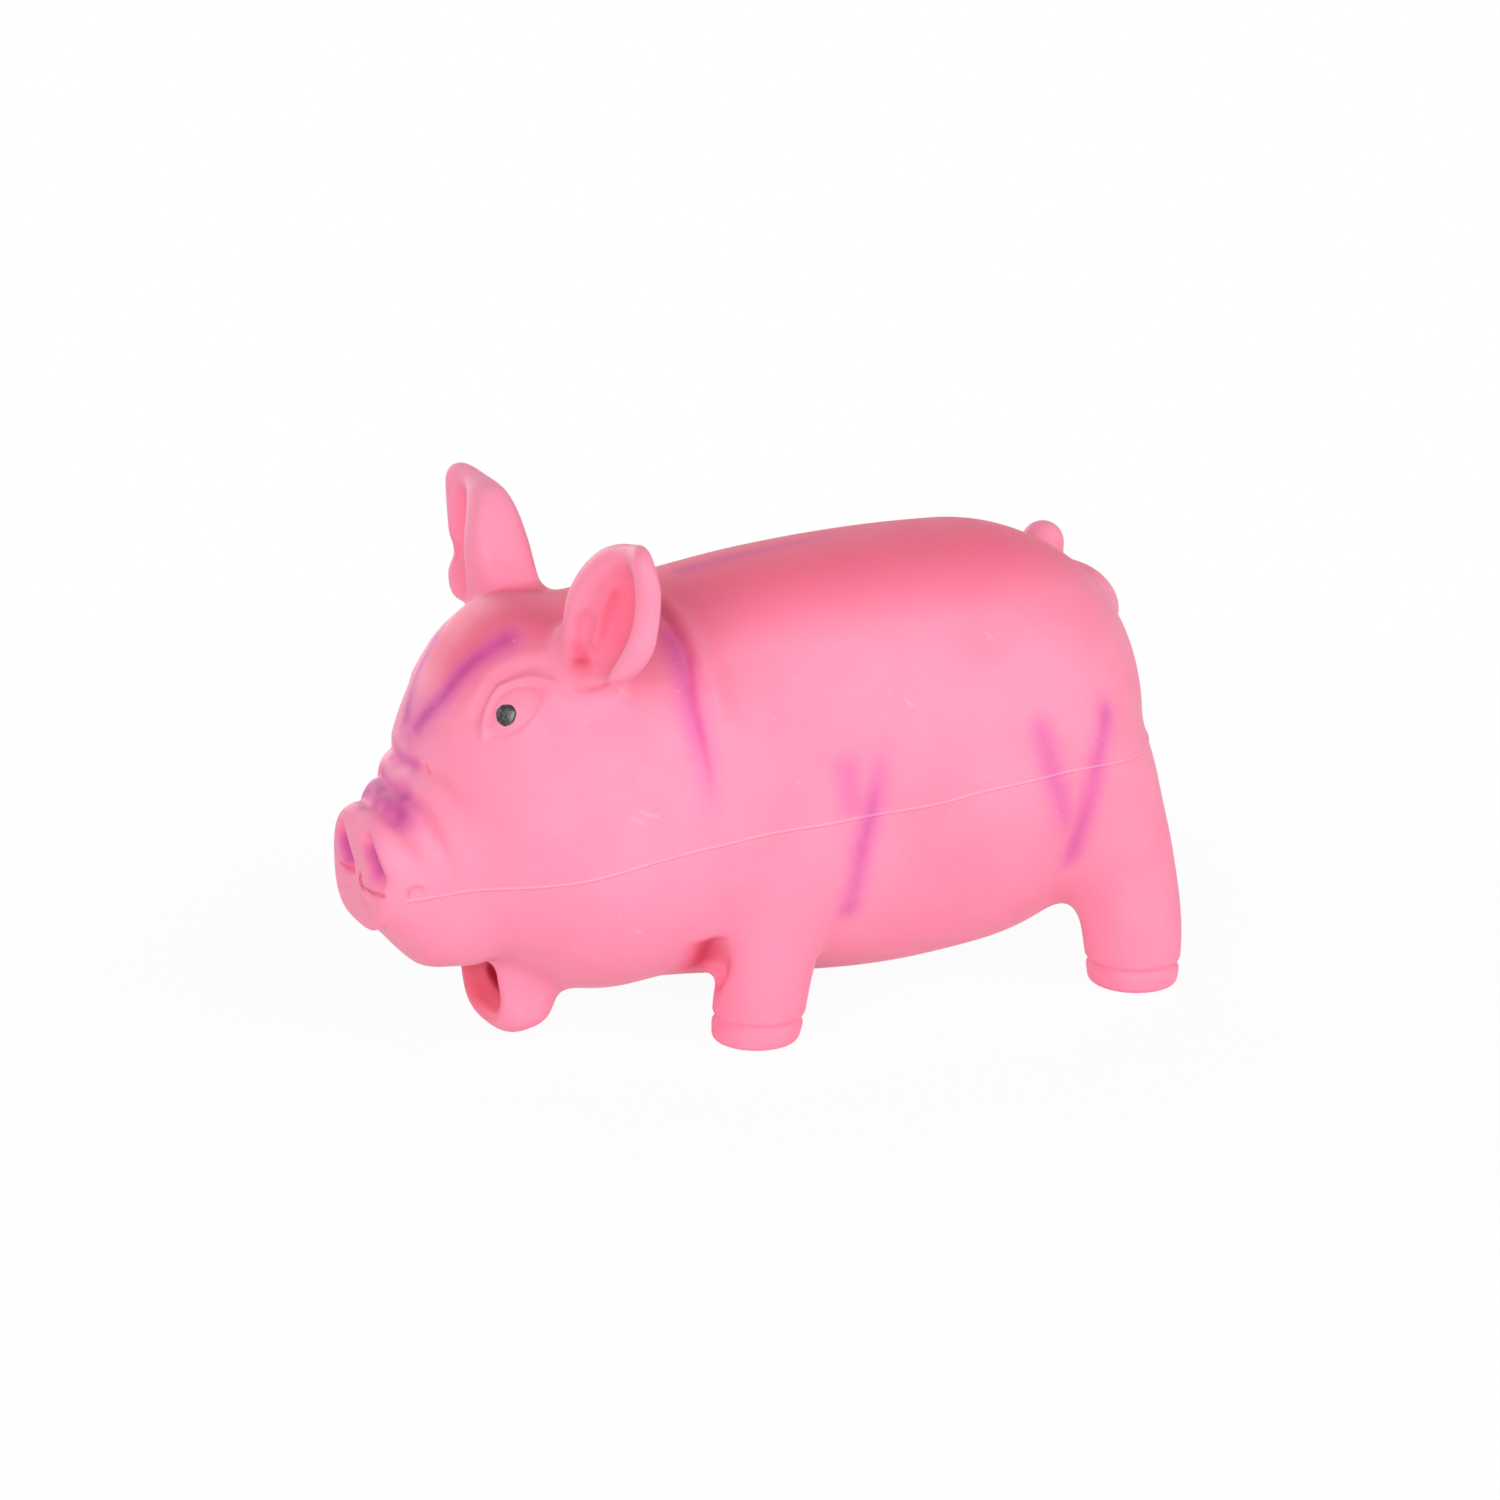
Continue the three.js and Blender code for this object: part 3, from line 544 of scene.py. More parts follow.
def cell_points(values, cells):
    """The mean of the places where the surface crosses a cell's edges, in cells."""
    total = np.zeros((len(cells), 3))
    crossed = np.zeros(len(cells))
    for axis in range(3):
        for corner in np.ndindex(2, 2, 2):
            if corner[axis]:
                continue
            a = cells + corner
            b = a + np.eye(3, dtype=int)[axis]
            start = values[tuple(a.T)]
            end = values[tuple(b.T)]
            cut = (start < 0) != (end < 0)
            share = np.where(cut, start / np.where(cut, start - end, 1), 0)
            place = np.array(corner) + np.eye(3)[axis] * share[:, None]
            total += np.where(cut[:, None], place, 0)
            crossed += cut
    return cells + total / crossed[:, None]


def surface_mesh(field, lowest, highest, step):
    """Points and quads over the place where a field is 0."""
    lowest = np.array(lowest, float)
    values = grid_values(field, lowest, highest, step)
    inside = values < 0
    shape = np.array(values.shape)
    count = np.zeros(shape - 1, np.int8)
    for i, j, k in np.ndindex(2, 2, 2):
        count += inside[i : shape[0] - 1 + i, j : shape[1] - 1 + j, k : shape[2] - 1 + k]
    cells = np.stack(np.nonzero((count > 0) & (count < 8)), 1)
    number = np.full(values.shape, -1, np.int32)
    number[tuple(cells.T)] = np.arange(len(cells))
    quads = []
    for axis in range(3):
        p = (axis + 1) % 3
        q = (axis + 2) % 3
        start = np.moveaxis(inside, axis, 0)[:-1]
        end = np.moveaxis(inside, axis, 0)[1:]
        edges = np.stack(np.nonzero(np.moveaxis(start != end, 0, axis)), 1)
        ring = []
        for dp, dq in ((-1, -1), (0, -1), (0, 0), (-1, 0)):
            cell = edges.copy()
            cell[:, p] += dp
            cell[:, q] += dq
            ring.append(number[tuple(cell.T)])
        quad = np.stack(ring, 1)
        outward = ~inside[tuple(edges.T)]
        quad[outward] = quad[outward][:, ::-1]
        quads.append(quad)
    return lowest + step * cell_points(values, cells), np.concatenate(quads)


SETTLE_ROUNDS = 2
SETTLE_STEP = 0.15
FLATTEST_SETTLE = 0.05
EVEN_SHARE = 0.5


def settle(field, points, rounds=SETTLE_ROUNDS):
    """Points moved onto a field's surface, and the directions out of it."""
    for _ in range(rounds):
        slope = slope_of(field, points, SETTLE_STEP)
        steep = np.maximum((slope**2).sum(1), FLATTEST_SETTLE)
        points = points - slope * (field(points) / steep)[:, None]
    return points, unit(slope_of(field, points, SETTLE_STEP))


def summed(index, vectors, count):
    """For each of count points, the sum of the vectors that carry its index."""
    return np.stack([np.bincount(index, vectors[:, axis], count) for axis in range(3)], 1)


def neighbour_mean(points, quads):
    total = np.zeros((len(points), 3))
    count = np.zeros(len(points))
    for i in range(4):
        for other in (quads[:, (i + 1) % 4], quads[:, (i + 3) % 4]):
            total += summed(quads[:, i], points[other], len(points))
            count += np.bincount(quads[:, i], minlength=len(points))
    return total / count[:, None]


def even_mesh(field, lowest, highest, step, rounds):
    """Points spread evenly over a field's surface, the quads between them and the directions out of it."""
    points, quads = surface_mesh(field, lowest, highest, step)
    for _ in range(rounds):
        points = points + EVEN_SHARE * (neighbour_mean(points, quads) - points)
        points, outward = settle(field, points, 1)
    return points, quads, outward


def mesh_normals(points, quads):
    a, b, c, d = (points[quads[:, i]] for i in range(4))
    face = np.cross(c - a, d - b)
    return unit(sum(summed(quads[:, i], face, len(points)) for i in range(4)))


# Marks: folds, creases and paint, by where the photograph shows them

RAY_START = 680.0
RAY_END = 900.0
RAY_STEP = 1.0
RAY_TOUCH = 0.1


def on_skin(pixels):
    """Where the skin lies under pixels of the photograph, or passes nearest to them."""
    right, up, back, place = view_axes()
    offset = (np.array(pixels, float) - TARGET_PIXEL) / FOCAL_PIXELS
    rays = unit(right * offset[:, :1] - up * offset[:, 1:] - back)
    reach = np.arange(RAY_START, RAY_END, RAY_STEP)
    points = place + rays[:, None] * reach[:, None]
    gap = skin(points.reshape(-1, 3)).reshape(len(rays), -1)
    touch = gap < RAY_TOUCH
    nearest = np.where(touch.any(1), touch.argmax(1), gap.argmin(1))
    found = points[np.arange(len(rays)), nearest]
    return settle(skin, found)[0]


# Each fold: pixels along it, its height (negative for a groove), its half width in millimetres and,
# where they are not FOLD_FADES, the shares of its length over which it fades in and out
FOLDS = dict(
    nose_groove=(((361, 806), (376, 809), (390, 818), (400, 832), (411, 852), (418, 870), (421, 884)),
        -0.9, 1.5, 0.0, 0.4),
    first_roll=(((369, 798), (385, 799), (402, 806), (415, 820), (427, 845), (437, 880)), 0.4, 2.2, 0.0, 0.4),
    roll_groove=(((376, 790), (390, 789), (405, 793), (423, 806), (432, 822), (441, 843), (460, 886)),
        -1.0, 1.3, 0.0, 0.4),
    second_roll=(((384, 773), (412, 781), (436, 800), (450, 824), (466, 862)), 0.4, 2.5, 0.0, 0.4),
    bridge_groove=(((392, 757), (415, 765), (440, 780), (453, 795), (464, 808), (475, 826)),
        -0.9, 1.6, 0.0, 0.5),
    lip_crease=(((362, 898), (369, 910), (384, 925)), -0.5, 0.7),
    brow_ridge=(((470, 706), (480, 689), (490, 674), (504, 665), (531, 654), (556, 652)), 0.5, 2.2),
    brow_groove=(((476, 735), (479, 716), (486, 700), (496, 683), (511, 674), (531, 667), (556, 664)),
        -0.75, 1.4, 0.15, 0.4),
    upper_lid=(((484, 737), (487, 716), (492, 700), (501, 689), (516, 682), (535, 679), (556, 684),
        (578, 698)), 0.75, 1.1),
    lid_line=(((491, 724), (493, 707), (499, 697), (509, 690), (521, 686), (536, 686), (553, 689)),
        -0.5, 0.7),
    lower_lid=(((541, 687), (540, 700), (534, 711), (526, 722), (517, 731), (504, 735), (493, 733)),
        -0.5, 0.75, 0.1, 0.3),
    lid_pouch=(((547, 700), (541, 714), (531, 728), (519, 737), (503, 742), (488, 740)), 0.35, 1.3),
    ear_fold=(((613, 586), (604, 612), (598, 636), (592, 652)), 1.7, 2.1),
    ear_channel=(((589, 606), (584, 634), (580, 664)), -1.6, 2.5, 0.3, 0.1),
    neck_groove=(((662, 613), (676, 633), (687, 653), (692, 690), (701, 728), (707, 761), (710, 811)),
        -0.9, 1.0, 0.2, 0.3),
    neck_roll=(((664, 600), (690, 633), (702, 656), (713, 694), (720, 740), (723, 790)), 0.9, 2.0, 0.3, 0.4),
    rear_groove=(((700, 620), (720, 664), (733, 715), (738, 780)), -0.6, 2.0, 0.4, 0.5),
    shoulder_crease=(((713, 974), (715, 961), (713, 948), (709, 934)), -3.2, 3.0, 0.0, 0.6),
)

# Folds of one side only
SINGLE_FOLDS = dict(
    near_nostril=(((365, 842), (372, 860), (381, 880)), -2.0, 2.2),
    far_nostril=(((341, 830), (345, 848), (350, 866)), -2.0, 2.0),
    nose_crack=(((361, 874), (361, 882), (365, 889), (379, 894)), -0.5, 0.5),
    far_crack=(((341, 863), (350, 872)), -0.4, 0.5),
    half_moon=(((409, 890), (413, 884), (420, 883), (425, 888)), 0.45, 0.5),
    far_ear_notch=(((449, 549), (456, 552)), -1.8, 2.8),
)
FOLD_FADES = (0.0, 0.15)

EYEBALL_PIXEL = (514, 709)
EYEBALL_RADIUS = 6.6
EYEBALL_HEIGHT = 0.9

# Each airbrushed streak: pixels along it, its half width in millimetres, its strength, and the shares
# of its length over which it fades in and out
STREAKS = dict(
    brow=(((533, 636), (506, 642), (482, 656), (461, 677), (445, 697), (426, 720), (412, 742)),
        3.1, 0.74, 0.15, 0.1),
    brow_low=(((446, 697), (426, 720), (408, 742)), 5.0, 0.4, 0.4, 0.1),
    bridge=(((392, 757), (408, 761), (427, 770)), 2.2, 0.6, 0.0, 0.4),
    snout_top=(((368, 801), (386, 797), (402, 801), (409, 810)), 3.7, 0.82, 0.0, 0.2),
    snout_side=(((390, 801), (402, 812), (405, 826), (402, 844)), 4.0, 0.78, 0.1, 0.45),
    neck=(((672, 641), (682, 666), (689, 700), (697, 735), (704, 766), (709, 805), (712, 850)),
        3.2, 0.58, 0.2, 0.55),
    spine=(((664, 574), (720, 554), (780, 541), (850, 533)), 3.0, 0.6, 0.1, 0.4),
    shoulder_rear=(((882, 722), (877, 783), (862, 847), (841, 924)), 3.0, 0.62, 0.4, 0.12),
    shoulder_front=(((841, 745), (850, 790), (858, 830)), 3.4, 0.42, 0.3, 0.3),
    hip_front=(((1031, 703), (1050, 765), (1070, 850)), 3.2, 0.54, 0.2, 0.3),
    hip_rear=(((1107, 690), (1097, 753), (1077, 833), (1064, 876)), 3.0, 0.6, 0.12, 0.15),
)
NOSTRIL_STREAKS = dict(
    near=(((362, 835), (372, 860), (383, 888)), 2.6, 0.78, 0.35, 0.3),
    far=(((338, 821), (344, 848), (350, 873)), 2.4, 0.78, 0.35, 0.3),
)

# Painted shade, a darker pink on the forehead, neck, chest and rump and in the ear's hollow: pixels along it, half
# width in millimetres, strength and fades
PAINTED_SHADES = dict(
    forehead=(((560, 604), (505, 616), (458, 652), (428, 694)), 11.0, 1.0, 0.3, 0.3),
    neck=(((668, 596), (690, 650), (702, 710)), 6.0, 0.25, 0.1, 0.5),
    neck_crease=(((676, 634), (687, 655), (693, 690), (701, 728), (707, 761), (711, 820)),
        0.7, 0.85, 0.15, 0.5),
    chest=(((711, 936), (706, 950), (697, 966)), 3.6, 1.8, 0.2, 0.0),
    rump=(((1000, 560), (1070, 590), (1120, 650)), 14.0, 0.3, 0.3, 0.3),
    ear_hollow=(((585, 628), (580, 648), (580, 662), (590, 666), (604, 660)), 2.6, 1.35, 0.5, 0.4),
)

# Painted shade along thin nicks and cracks, each on one side only: pixels along it, its half width in millimetres
# and its strength
NICK_SHADES = dict(
    nose=(((361, 873), (360, 880), (363, 887), (375, 893), (384, 896)), 0.45, 1.8),
    nose_far=(((340, 863), (351, 873)), 0.45, 1.6),
    bridge=(((426, 766), (429, 773)), 0.45, 1.1),
    half_moon=(((409, 895), (409, 889), (416, 884), (424, 886)), 0.45, 0.6),
)

# Pale scuffs of the left side, given in the same way
SCUFFS = dict(
    ear_root=(((617, 686), (622, 692), (629, 696)), 0.3, 0.28),
    ear_root_cross=(((625, 686), (618, 697)), 0.3, 0.28),
    cheek=(((640, 811), (648, 815), (657, 816)), 0.3, 0.28),
    cheek_low=(((632, 817), (643, 823)), 0.3, 0.28),
    jaw=(((634, 930), (643, 934)), 0.3, 0.28),
    back=(((985, 633), (992, 640)), 0.3, 0.28),
    flank=(((905, 700), (911, 706)), 0.3, 0.28),
)

# How much further up the neck the marks of these names begin, where the ear hides them in the photograph
LEAD_IN = dict(neck_groove=11.0, neck_roll=11.0, rear_groove=11.0, neck=11.0)


def led_in(line, length):
    """A line with one more point ahead of its first, on the trunk."""
    start = line[:1] + unit(line[:1] - line[1:2]) * length
    return np.concatenate([settle(trunk, start)[0], line])


def placed(marks, mirrored):
    """Marks with their pixels brought onto the skin, and onto its left half if they are on both sides."""
    found = {}
    for name, (pixels, *rest) in marks.items():
        line = on_skin(pixels)
        if name in LEAD_IN:
            line = led_in(line, LEAD_IN[name])
        if mirrored:
            line[:, 1] = np.minimum(line[:, 1], 0)
        found[name] = (line, *rest)
    return found


BRUSH_REACH = 3.0


def brush(points, line, width, fade_in=0.0, fade_out=0.0):
    """How strongly a soft stroke along a line covers points, 0 to 1."""
    reach = BRUSH_REACH * width
    near = np.all((points > line.min(0) - reach) & (points < line.max(0) + reach), axis=1)
    cover = np.zeros(len(points))
    if near.any():
        distance, share = polyline(points[near], line)
        cover[near] = np.exp(-((distance / width) ** 2))
        if fade_in:
            cover[near] *= ease(share / fade_in)
        if fade_out:
            cover[near] *= ease((1 - share) / fade_out)
    return cover


MIDDLE_ROUND = 2.2


def folded(points):
    """Every point brought to the left half, without a kink at the middle, so that marks cross it smoothly."""
    mirrored = points.copy()
    mirrored[:, 1] = -np.hypot(points[:, 1], MIDDLE_ROUND)
    return mirrored


PAIRED_FOLDS = placed(FOLDS, True)
LONE_FOLDS = placed(SINGLE_FOLDS, False)
EYEBALL = on_skin([EYEBALL_PIXEL])[0]
UNEVEN_HEIGHT = 0.12
UNEVEN_WAVES = np.array([(1 / 9, 0, 0), (0, 1 / 8, 1 / 11), (1 / 15, 1 / 17, -1 / 15)])
UNEVEN_STARTS = (0.0, 0.7, 0.0)
UNEVEN_SWAY = 1.3
UNEVEN_SWAY_LENGTH = 13.0


def unevenness(points):
    """Slow waves of the hand-finished mould."""
    phase = points @ UNEVEN_WAVES.T + UNEVEN_STARTS
    phase[:, 0] += UNEVEN_SWAY * np.sin(points[:, 2] / UNEVEN_SWAY_LENGTH)
    return UNEVEN_HEIGHT * np.sin(phase).sum(1)


def relief(points):
    """Height of the small folds over the smooth skin."""
    left = folded(points)
    height = unevenness(points)
    for line, rise, width, *fades in PAIRED_FOLDS.values():
        height += rise * brush(left, line, width, *(fades or FOLD_FADES))
    for line, rise, width in LONE_FOLDS.values():
        height += rise * brush(points, line, width)
    ball = np.linalg.norm(left - EYEBALL, axis=1) / EYEBALL_RADIUS
    return height + EYEBALL_HEIGHT * np.clip(1 - ball**2, 0, 1)


def strokes(points, marks, mirrored):
    """The strongest of a table's marks at each point."""
    cover = np.zeros(len(points))
    for line, width, strength, *fades in placed(marks, mirrored).values():
        cover = np.maximum(cover, strength * brush(points, line, width, *fades))
    return cover


def paint(points):
    """How much airbrushed purple covers each point."""
    return np.maximum(strokes(folded(points), STREAKS, True), strokes(points, NOSTRIL_STREAKS, False))


# Painted shade: a darker pink in grooves, on tops that face up and in the dishes of the ears
CREASE_DEPTH = 1.3
CREASE_SHADE = 0.42
TOP_SLOPES = (0.55, 1.0)
TOP_REACH = 6.0
DISH_STRENGTH = 0.9
DISH_FADE = 1.5


def dish_shade(points):
    """Painted shade in the dish of an ear, 0 to 1, growing the further a point lies into it."""
    floor = ease(1 - ear_dish(points) / DISH_FADE)
    return DISH_STRENGTH * floor * np.clip(-in_dish(points)[:, 2], 0, 1)


def painted_shade_depth(points, normals, height):
    """Painted shade, a darker pink: on top of the trunk, in folds and ears, 0 to 1, and up to 2 in dark hollows.
    """
    left = left_side(points)
    # Tops that face up get painted shade, and so do grooves
    top = ease((normals[:, 2] - TOP_SLOPES[0]) / (TOP_SLOPES[1] - TOP_SLOPES[0]))
    top = top * ease(1 - trunk(left) / TOP_REACH)
    fold = CREASE_SHADE * np.clip(-height / CREASE_DEPTH, 0, 1)
    painted_shade = np.maximum(top, fold)
    painted_shade = np.maximum(painted_shade, strokes(left, PAINTED_SHADES, True))
    painted_shade = np.maximum(painted_shade, strokes(points, NICK_SHADES, False))
    in_box = np.all((left > EAR_BOX[0]) & (left < EAR_BOX[1]), axis=1)
    painted_shade[in_box] = np.maximum(painted_shade[in_box], dish_shade(left[in_box]))
    return painted_shade


INSIDE_FADE = 3.0
HOLE_FADE = 0.6
MOUTH_REACH = 24.0


def mouth_shade(points):
    """Painted shade in the mouth, 0 to 1 the further a point lies inside it, and up to 2 for a painted shadow in
    the hole at its back.
    """
    left = left_side(points)
    gap = np.minimum(blob(left, SCOOP), blob(left, POCKET))
    near = np.linalg.norm(points - np.array(POCKET["centre"]), axis=1) < MOUTH_REACH
    hole = ease(1 - blob(left, THROAT) / HOLE_FADE)
    return np.where(near, np.maximum(ease(1 - gap / INSIDE_FADE), hole) + hole, 0)


# Skin sheet: points with their normals and paint, cut into pieces along smooth lines

class Sheet:
    """Columns of each point: place (3), normal (3) and one for each mark."""

    def __init__(self, columns, faces):
        self.columns = list(columns)
        self.faces = faces
        self.cuts = {}

    def split(self, value):
        """Takes the faces on the positive side of a value per point, and cuts those that cross it."""
        value = list(value)
        taken = []
        kept = []
        for face in self.faces:
            above = [value[i] > 0 for i in face]
            if all(above):
                taken.append(face)
            elif not any(above):
                kept.append(face)
            else:
                taken.append(self.part(face, value, 1))
                kept.append(self.part(face, value, -1))
        self.faces = kept
        return taken

    def part(self, face, value, sign):
        corners = []
        for a, b in zip(face, face[1:] + face[:1]):
            if value[a] * sign > 0:
                corners.append(a)
            if (value[a] > 0) != (value[b] > 0):
                corners.append(self.cut(min(a, b), max(a, b), value))
        return corners

    def cut(self, a, b, value):
        if (a, b) not in self.cuts:
            share = value[a] / (value[a] - value[b])
            self.cuts[a, b] = len(self.columns)
            self.columns.append(self.columns[a] * (1 - share) + self.columns[b] * share)
            value.append(0.0)
        return self.cuts[a, b]


# Per point: the purple paint, painted shade in the mouth, painted shade elsewhere, and pale scuffs with a painted
# highlight on the seam
MARKS = ("streak", "inside", "painted_shade", "scuff_and_highlight")


def mesh_piece(name, points, faces, material, normals=None, attributes=None):
    """A smooth mesh in metres from points in millimetres."""
    mesh = bpy.data.meshes.new(name)
    mesh.from_pydata((points * MM).tolist(), [], faces)
    mesh.shade_smooth()
    for label, numbers in (attributes or {}).items():
        layer = mesh.attributes.new(label, "FLOAT", "POINT")
        layer.data.foreach_set("value", np.array(numbers, np.float32))
    mesh.materials.append(material)
    if normals is not None:
        mesh.normals_split_custom_set_from_vertices(normals.tolist())
    return link(name, mesh)


def grid_faces(rows, count, closed):
    """Quads over rows of count points each, which go round if they are closed."""
    points = np.arange(rows * count).reshape(rows, count)
    following = np.roll(points, -1, axis=1)
    quads = np.stack([points[:-1], points[1:], following[1:], following[:-1]], -1)
    return (quads if closed else quads[:, :-1]).reshape(-1, 4)


def sheet_piece(name, sheet, faces, material):
    used = sorted({i for face in faces for i in face})
    renumbered = {old: new for new, old in enumerate(used)}
    columns = np.array([sheet.columns[i] for i in used])
    corners = [[renumbered[i] for i in face] for face in faces]
    points, normals, marks = np.split(columns, (3, 6), axis=1)
    return mesh_piece(name, points, corners, material, unit(normals), dict(zip(MARKS, marks.T)))


# Materials

class Nodes:
    """Short calls for building the nodes of a material or a world."""

    def __init__(self, holder):
        holder.use_nodes = True
        self.holder = holder
        self.tree = holder.node_tree
        self.shader = self.tree.nodes.get("Principled BSDF") or self.tree.nodes["Background"]

    def add(self, kind, inputs=None, **settings):
        node = self.tree.nodes.new(kind)
        for key, setting in settings.items():
            setattr(node, key, setting)
        for key, source in (inputs or {}).items():
            self.feed(node.inputs[key], source)
        return node

    def feed(self, socket, source):
        if isinstance(source, bpy.types.NodeSocket):
            self.tree.links.new(source, socket)
        else:
            socket.default_value = source

    def place(self):
        return self.add("ShaderNodeNewGeometry").outputs["Position"]

    def noise(self, scale, detail=3.0, roughness=0.55, distortion=0.0):
        inputs = dict(Vector=self.place(), Scale=scale, Detail=detail)
        inputs.update(Roughness=roughness, Distortion=distortion)
        return self.add("ShaderNodeTexNoise", inputs).outputs["Fac"]

    def ramp(self, factor, low_end, high_end, low_value=0.0, high_value=1.0):
        inputs = {"Value": factor, "From Min": low_end, "From Max": high_end}
        inputs.update({"To Min": low_value, "To Max": high_value})
        return self.add("ShaderNodeMapRange", inputs).outputs["Result"]

    def mix(self, factor, a, b):
        inputs = dict(Factor=factor, A=a, B=b)
        return self.add("ShaderNodeMix", inputs, data_type="RGBA").outputs["Result"]

    def math(self, operation, a, b):
        return self.add("ShaderNodeMath", {0: a, 1: b}, operation=operation).outputs["Value"]

    def attribute(self, name):
        return self.add("ShaderNodeAttribute", attribute_name=name).outputs["Fac"]

    def bump(self, height, depth):
        node = self.add("ShaderNodeBump", dict(Height=height, Distance=depth, Strength=1.0))
        self.feed(self.shader.inputs["Normal"], node.outputs["Normal"])

    def set(self, **inputs):
        for key, source in inputs.items():
            self.feed(self.shader.inputs[key.replace("_", " ")], source)


def colour(r, g, b):
    """A colour given as it looks on a screen, 0 to 255."""
    screen = np.array([r, g, b]) / 255
    linear = np.where(screen > 0.04045, ((screen + 0.055) / 1.055) ** 2.4, screen / 12.92)
    return (*linear.tolist(), 1.0)


def latex():
    nodes = Nodes(bpy.data.materials.new("pink_latex"))
    blotch = nodes.ramp(nodes.noise(38, 4.0), 0.35, 0.65)
    pink = nodes.mix(blotch, colour(252, 141, 171), colour(253, 151, 181))
    cloud = nodes.ramp(nodes.noise(11, 2.0), 0.4, 0.7, 0.0, 0.35)
    pink = nodes.mix(cloud, pink, colour(250, 133, 162))
    # Painted shade: a darker pink, and up to a dark red in hollows
    painted_shade = nodes.attribute("painted_shade")
    pink = nodes.mix(nodes.ramp(painted_shade, 0.0, 1.0), pink, colour(246, 108, 138))
    pink = nodes.mix(nodes.ramp(painted_shade, 1.0, 2.0), pink, colour(206, 72, 98))
    # Painted shade inside the mouth, and a painted shadow in the hole at its back
    inside = nodes.attribute("inside")
    mouth_shaded = nodes.mix(nodes.ramp(inside, 0.0, 1.0), pink, colour(250, 116, 142))
    mouth_shaded = nodes.mix(nodes.ramp(inside, 1.0, 2.0), mouth_shaded, colour(192, 50, 72))
    grain = nodes.ramp(nodes.noise(160, 5.0, 0.7), 0.3, 0.7, 0.86, 1.06)
    spray = nodes.math("MULTIPLY", nodes.attribute("streak"), grain)
    purple = nodes.mix(nodes.ramp(spray, 0.5, 0.85), colour(206, 62, 168), colour(182, 40, 136))
    painted = nodes.mix(spray, mouth_shaded, purple)
    # Pale specks and scuffs, and a painted highlight along the seam's crest
    specks = nodes.ramp(nodes.noise(900, 1.0), 0.74, 0.78, 0.0, 0.2)
    pale = nodes.math("MAXIMUM", specks, nodes.attribute("scuff_and_highlight"))
    dusted_and_highlit = nodes.mix(pale, painted, colour(255, 205, 216))
    satin = nodes.ramp(nodes.noise(70, 4.0), 0.3, 0.7, 0.46, 0.58)
    nodes.set(Base_Color=dusted_and_highlit, Roughness=satin, Subsurface_Weight=0.12, Subsurface_Scale=0.003)
    nodes.set(Subsurface_Radius=(1.0, 0.35, 0.3), Specular_IOR_Level=0.28)
    fine = nodes.noise(1400, 3.0, 0.6)
    broad = nodes.math("MULTIPLY", nodes.noise(130, 4.0), 2.0)
    nodes.bump(nodes.math("ADD", fine, broad), 0.00006)
    return nodes.holder


def mottled(name, shades, patches, gloss, gloss_range, grain, depth, ends=(0.3, 0.7), **more):
    """A material of two shades in patches, with uneven gloss and a fine grain, each from its own noise."""
    nodes = Nodes(bpy.data.materials.new(name))
    nodes.set(Base_Color=nodes.mix(nodes.ramp(nodes.noise(*patches), *ends), *shades))
    nodes.set(Roughness=nodes.ramp(nodes.noise(*gloss), 0.3, 0.7, *gloss_range), **more)
    nodes.bump(nodes.noise(*grain), depth)
    return nodes.holder


def eye_paint():
    black = (colour(24, 21, 24), colour(118, 112, 118))
    wear = dict(patches=(900, 4.0, 0.7, 1.5), ends=(0.46, 0.66))
    shine = dict(gloss=(1100,), gloss_range=(0.16, 0.34))
    return mottled("black_eye_paint", black, **wear, **shine, grain=(1800,), depth=0.00005)


def fibre():
    nodes = Nodes(bpy.data.materials.new("white_fibre"))
    strands = nodes.noise(420, 6.0, 0.75, 2.5)
    nodes.set(Base_Color=nodes.mix(strands, colour(228, 224, 216), colour(250, 248, 244)), Roughness=0.95)
    nodes.set(Sheen_Weight=0.4)
    nodes.bump(strands, 0.0012)
    return nodes.holder


def voice_plastic():
    milky = (colour(226, 222, 208), colour(240, 237, 226))
    shine = dict(gloss=(800,), gloss_range=(0.38, 0.5), Subsurface_Weight=0.1, Subsurface_Scale=0.001)
    return mottled("natural_polyethylene", milky, (240,), **shine, grain=(2500, 2.0), depth=0.00003)


def reed_film():
    amber = (colour(206, 168, 96), colour(222, 188, 120))
    shine = dict(gloss=(900, 2.0), gloss_range=(0.15, 0.28))
    return mottled("amber_reed_film", amber, (600, 2.0), **shine, grain=(1800, 2.0), depth=0.00002)


LATEX = latex()

# Skin of the whole pig

FINE_STEP = 0.6
SKIN_ROUNDS = 3
SKIN_LOW = (-104, -58, -4)
SKIN_HIGH = (106, 58, 128)
SNOUT_SPLIT_X = -84.0
LEG_SPLIT_Z = dict(front=24.0, rear=30.0)
LEG_REACH = 24.0
EAR_BORDER = 1.4
JAW_BORDER = 0.2
LIP_REACH = 3.5
SIDES = dict(left=1, right=-1)


def jaw_direction():
    """From the jaw's hinge towards the middle of the lip."""
    hinge = joint_place("jaw_close")
    down = box("lower_jaw").mean(0) - hinge
    down[1] = 0
    return hinge, unit(down)


def skin_sheet():
    step = FINE_STEP
    points, quads, outward = even_mesh(skin, SKIN_LOW, SKIN_HIGH, step, SKIN_ROUNDS)
    height = relief(points)
    # Painted shade, on the skin and in the mouth, goes into the marks with the purple paint and the pale scuffs
    painted_shade = painted_shade_depth(points, outward, height)
    pale = strokes(points, SCUFFS, False)
    marks = np.stack([paint(points), mouth_shade(points), painted_shade, pale], 1)
    points = points + outward * height[:, None]
    points[:, 2] = np.maximum(points[:, 2], 0)
    return Sheet(np.concatenate([points, mesh_normals(points, quads), marks], 1), quads.tolist())


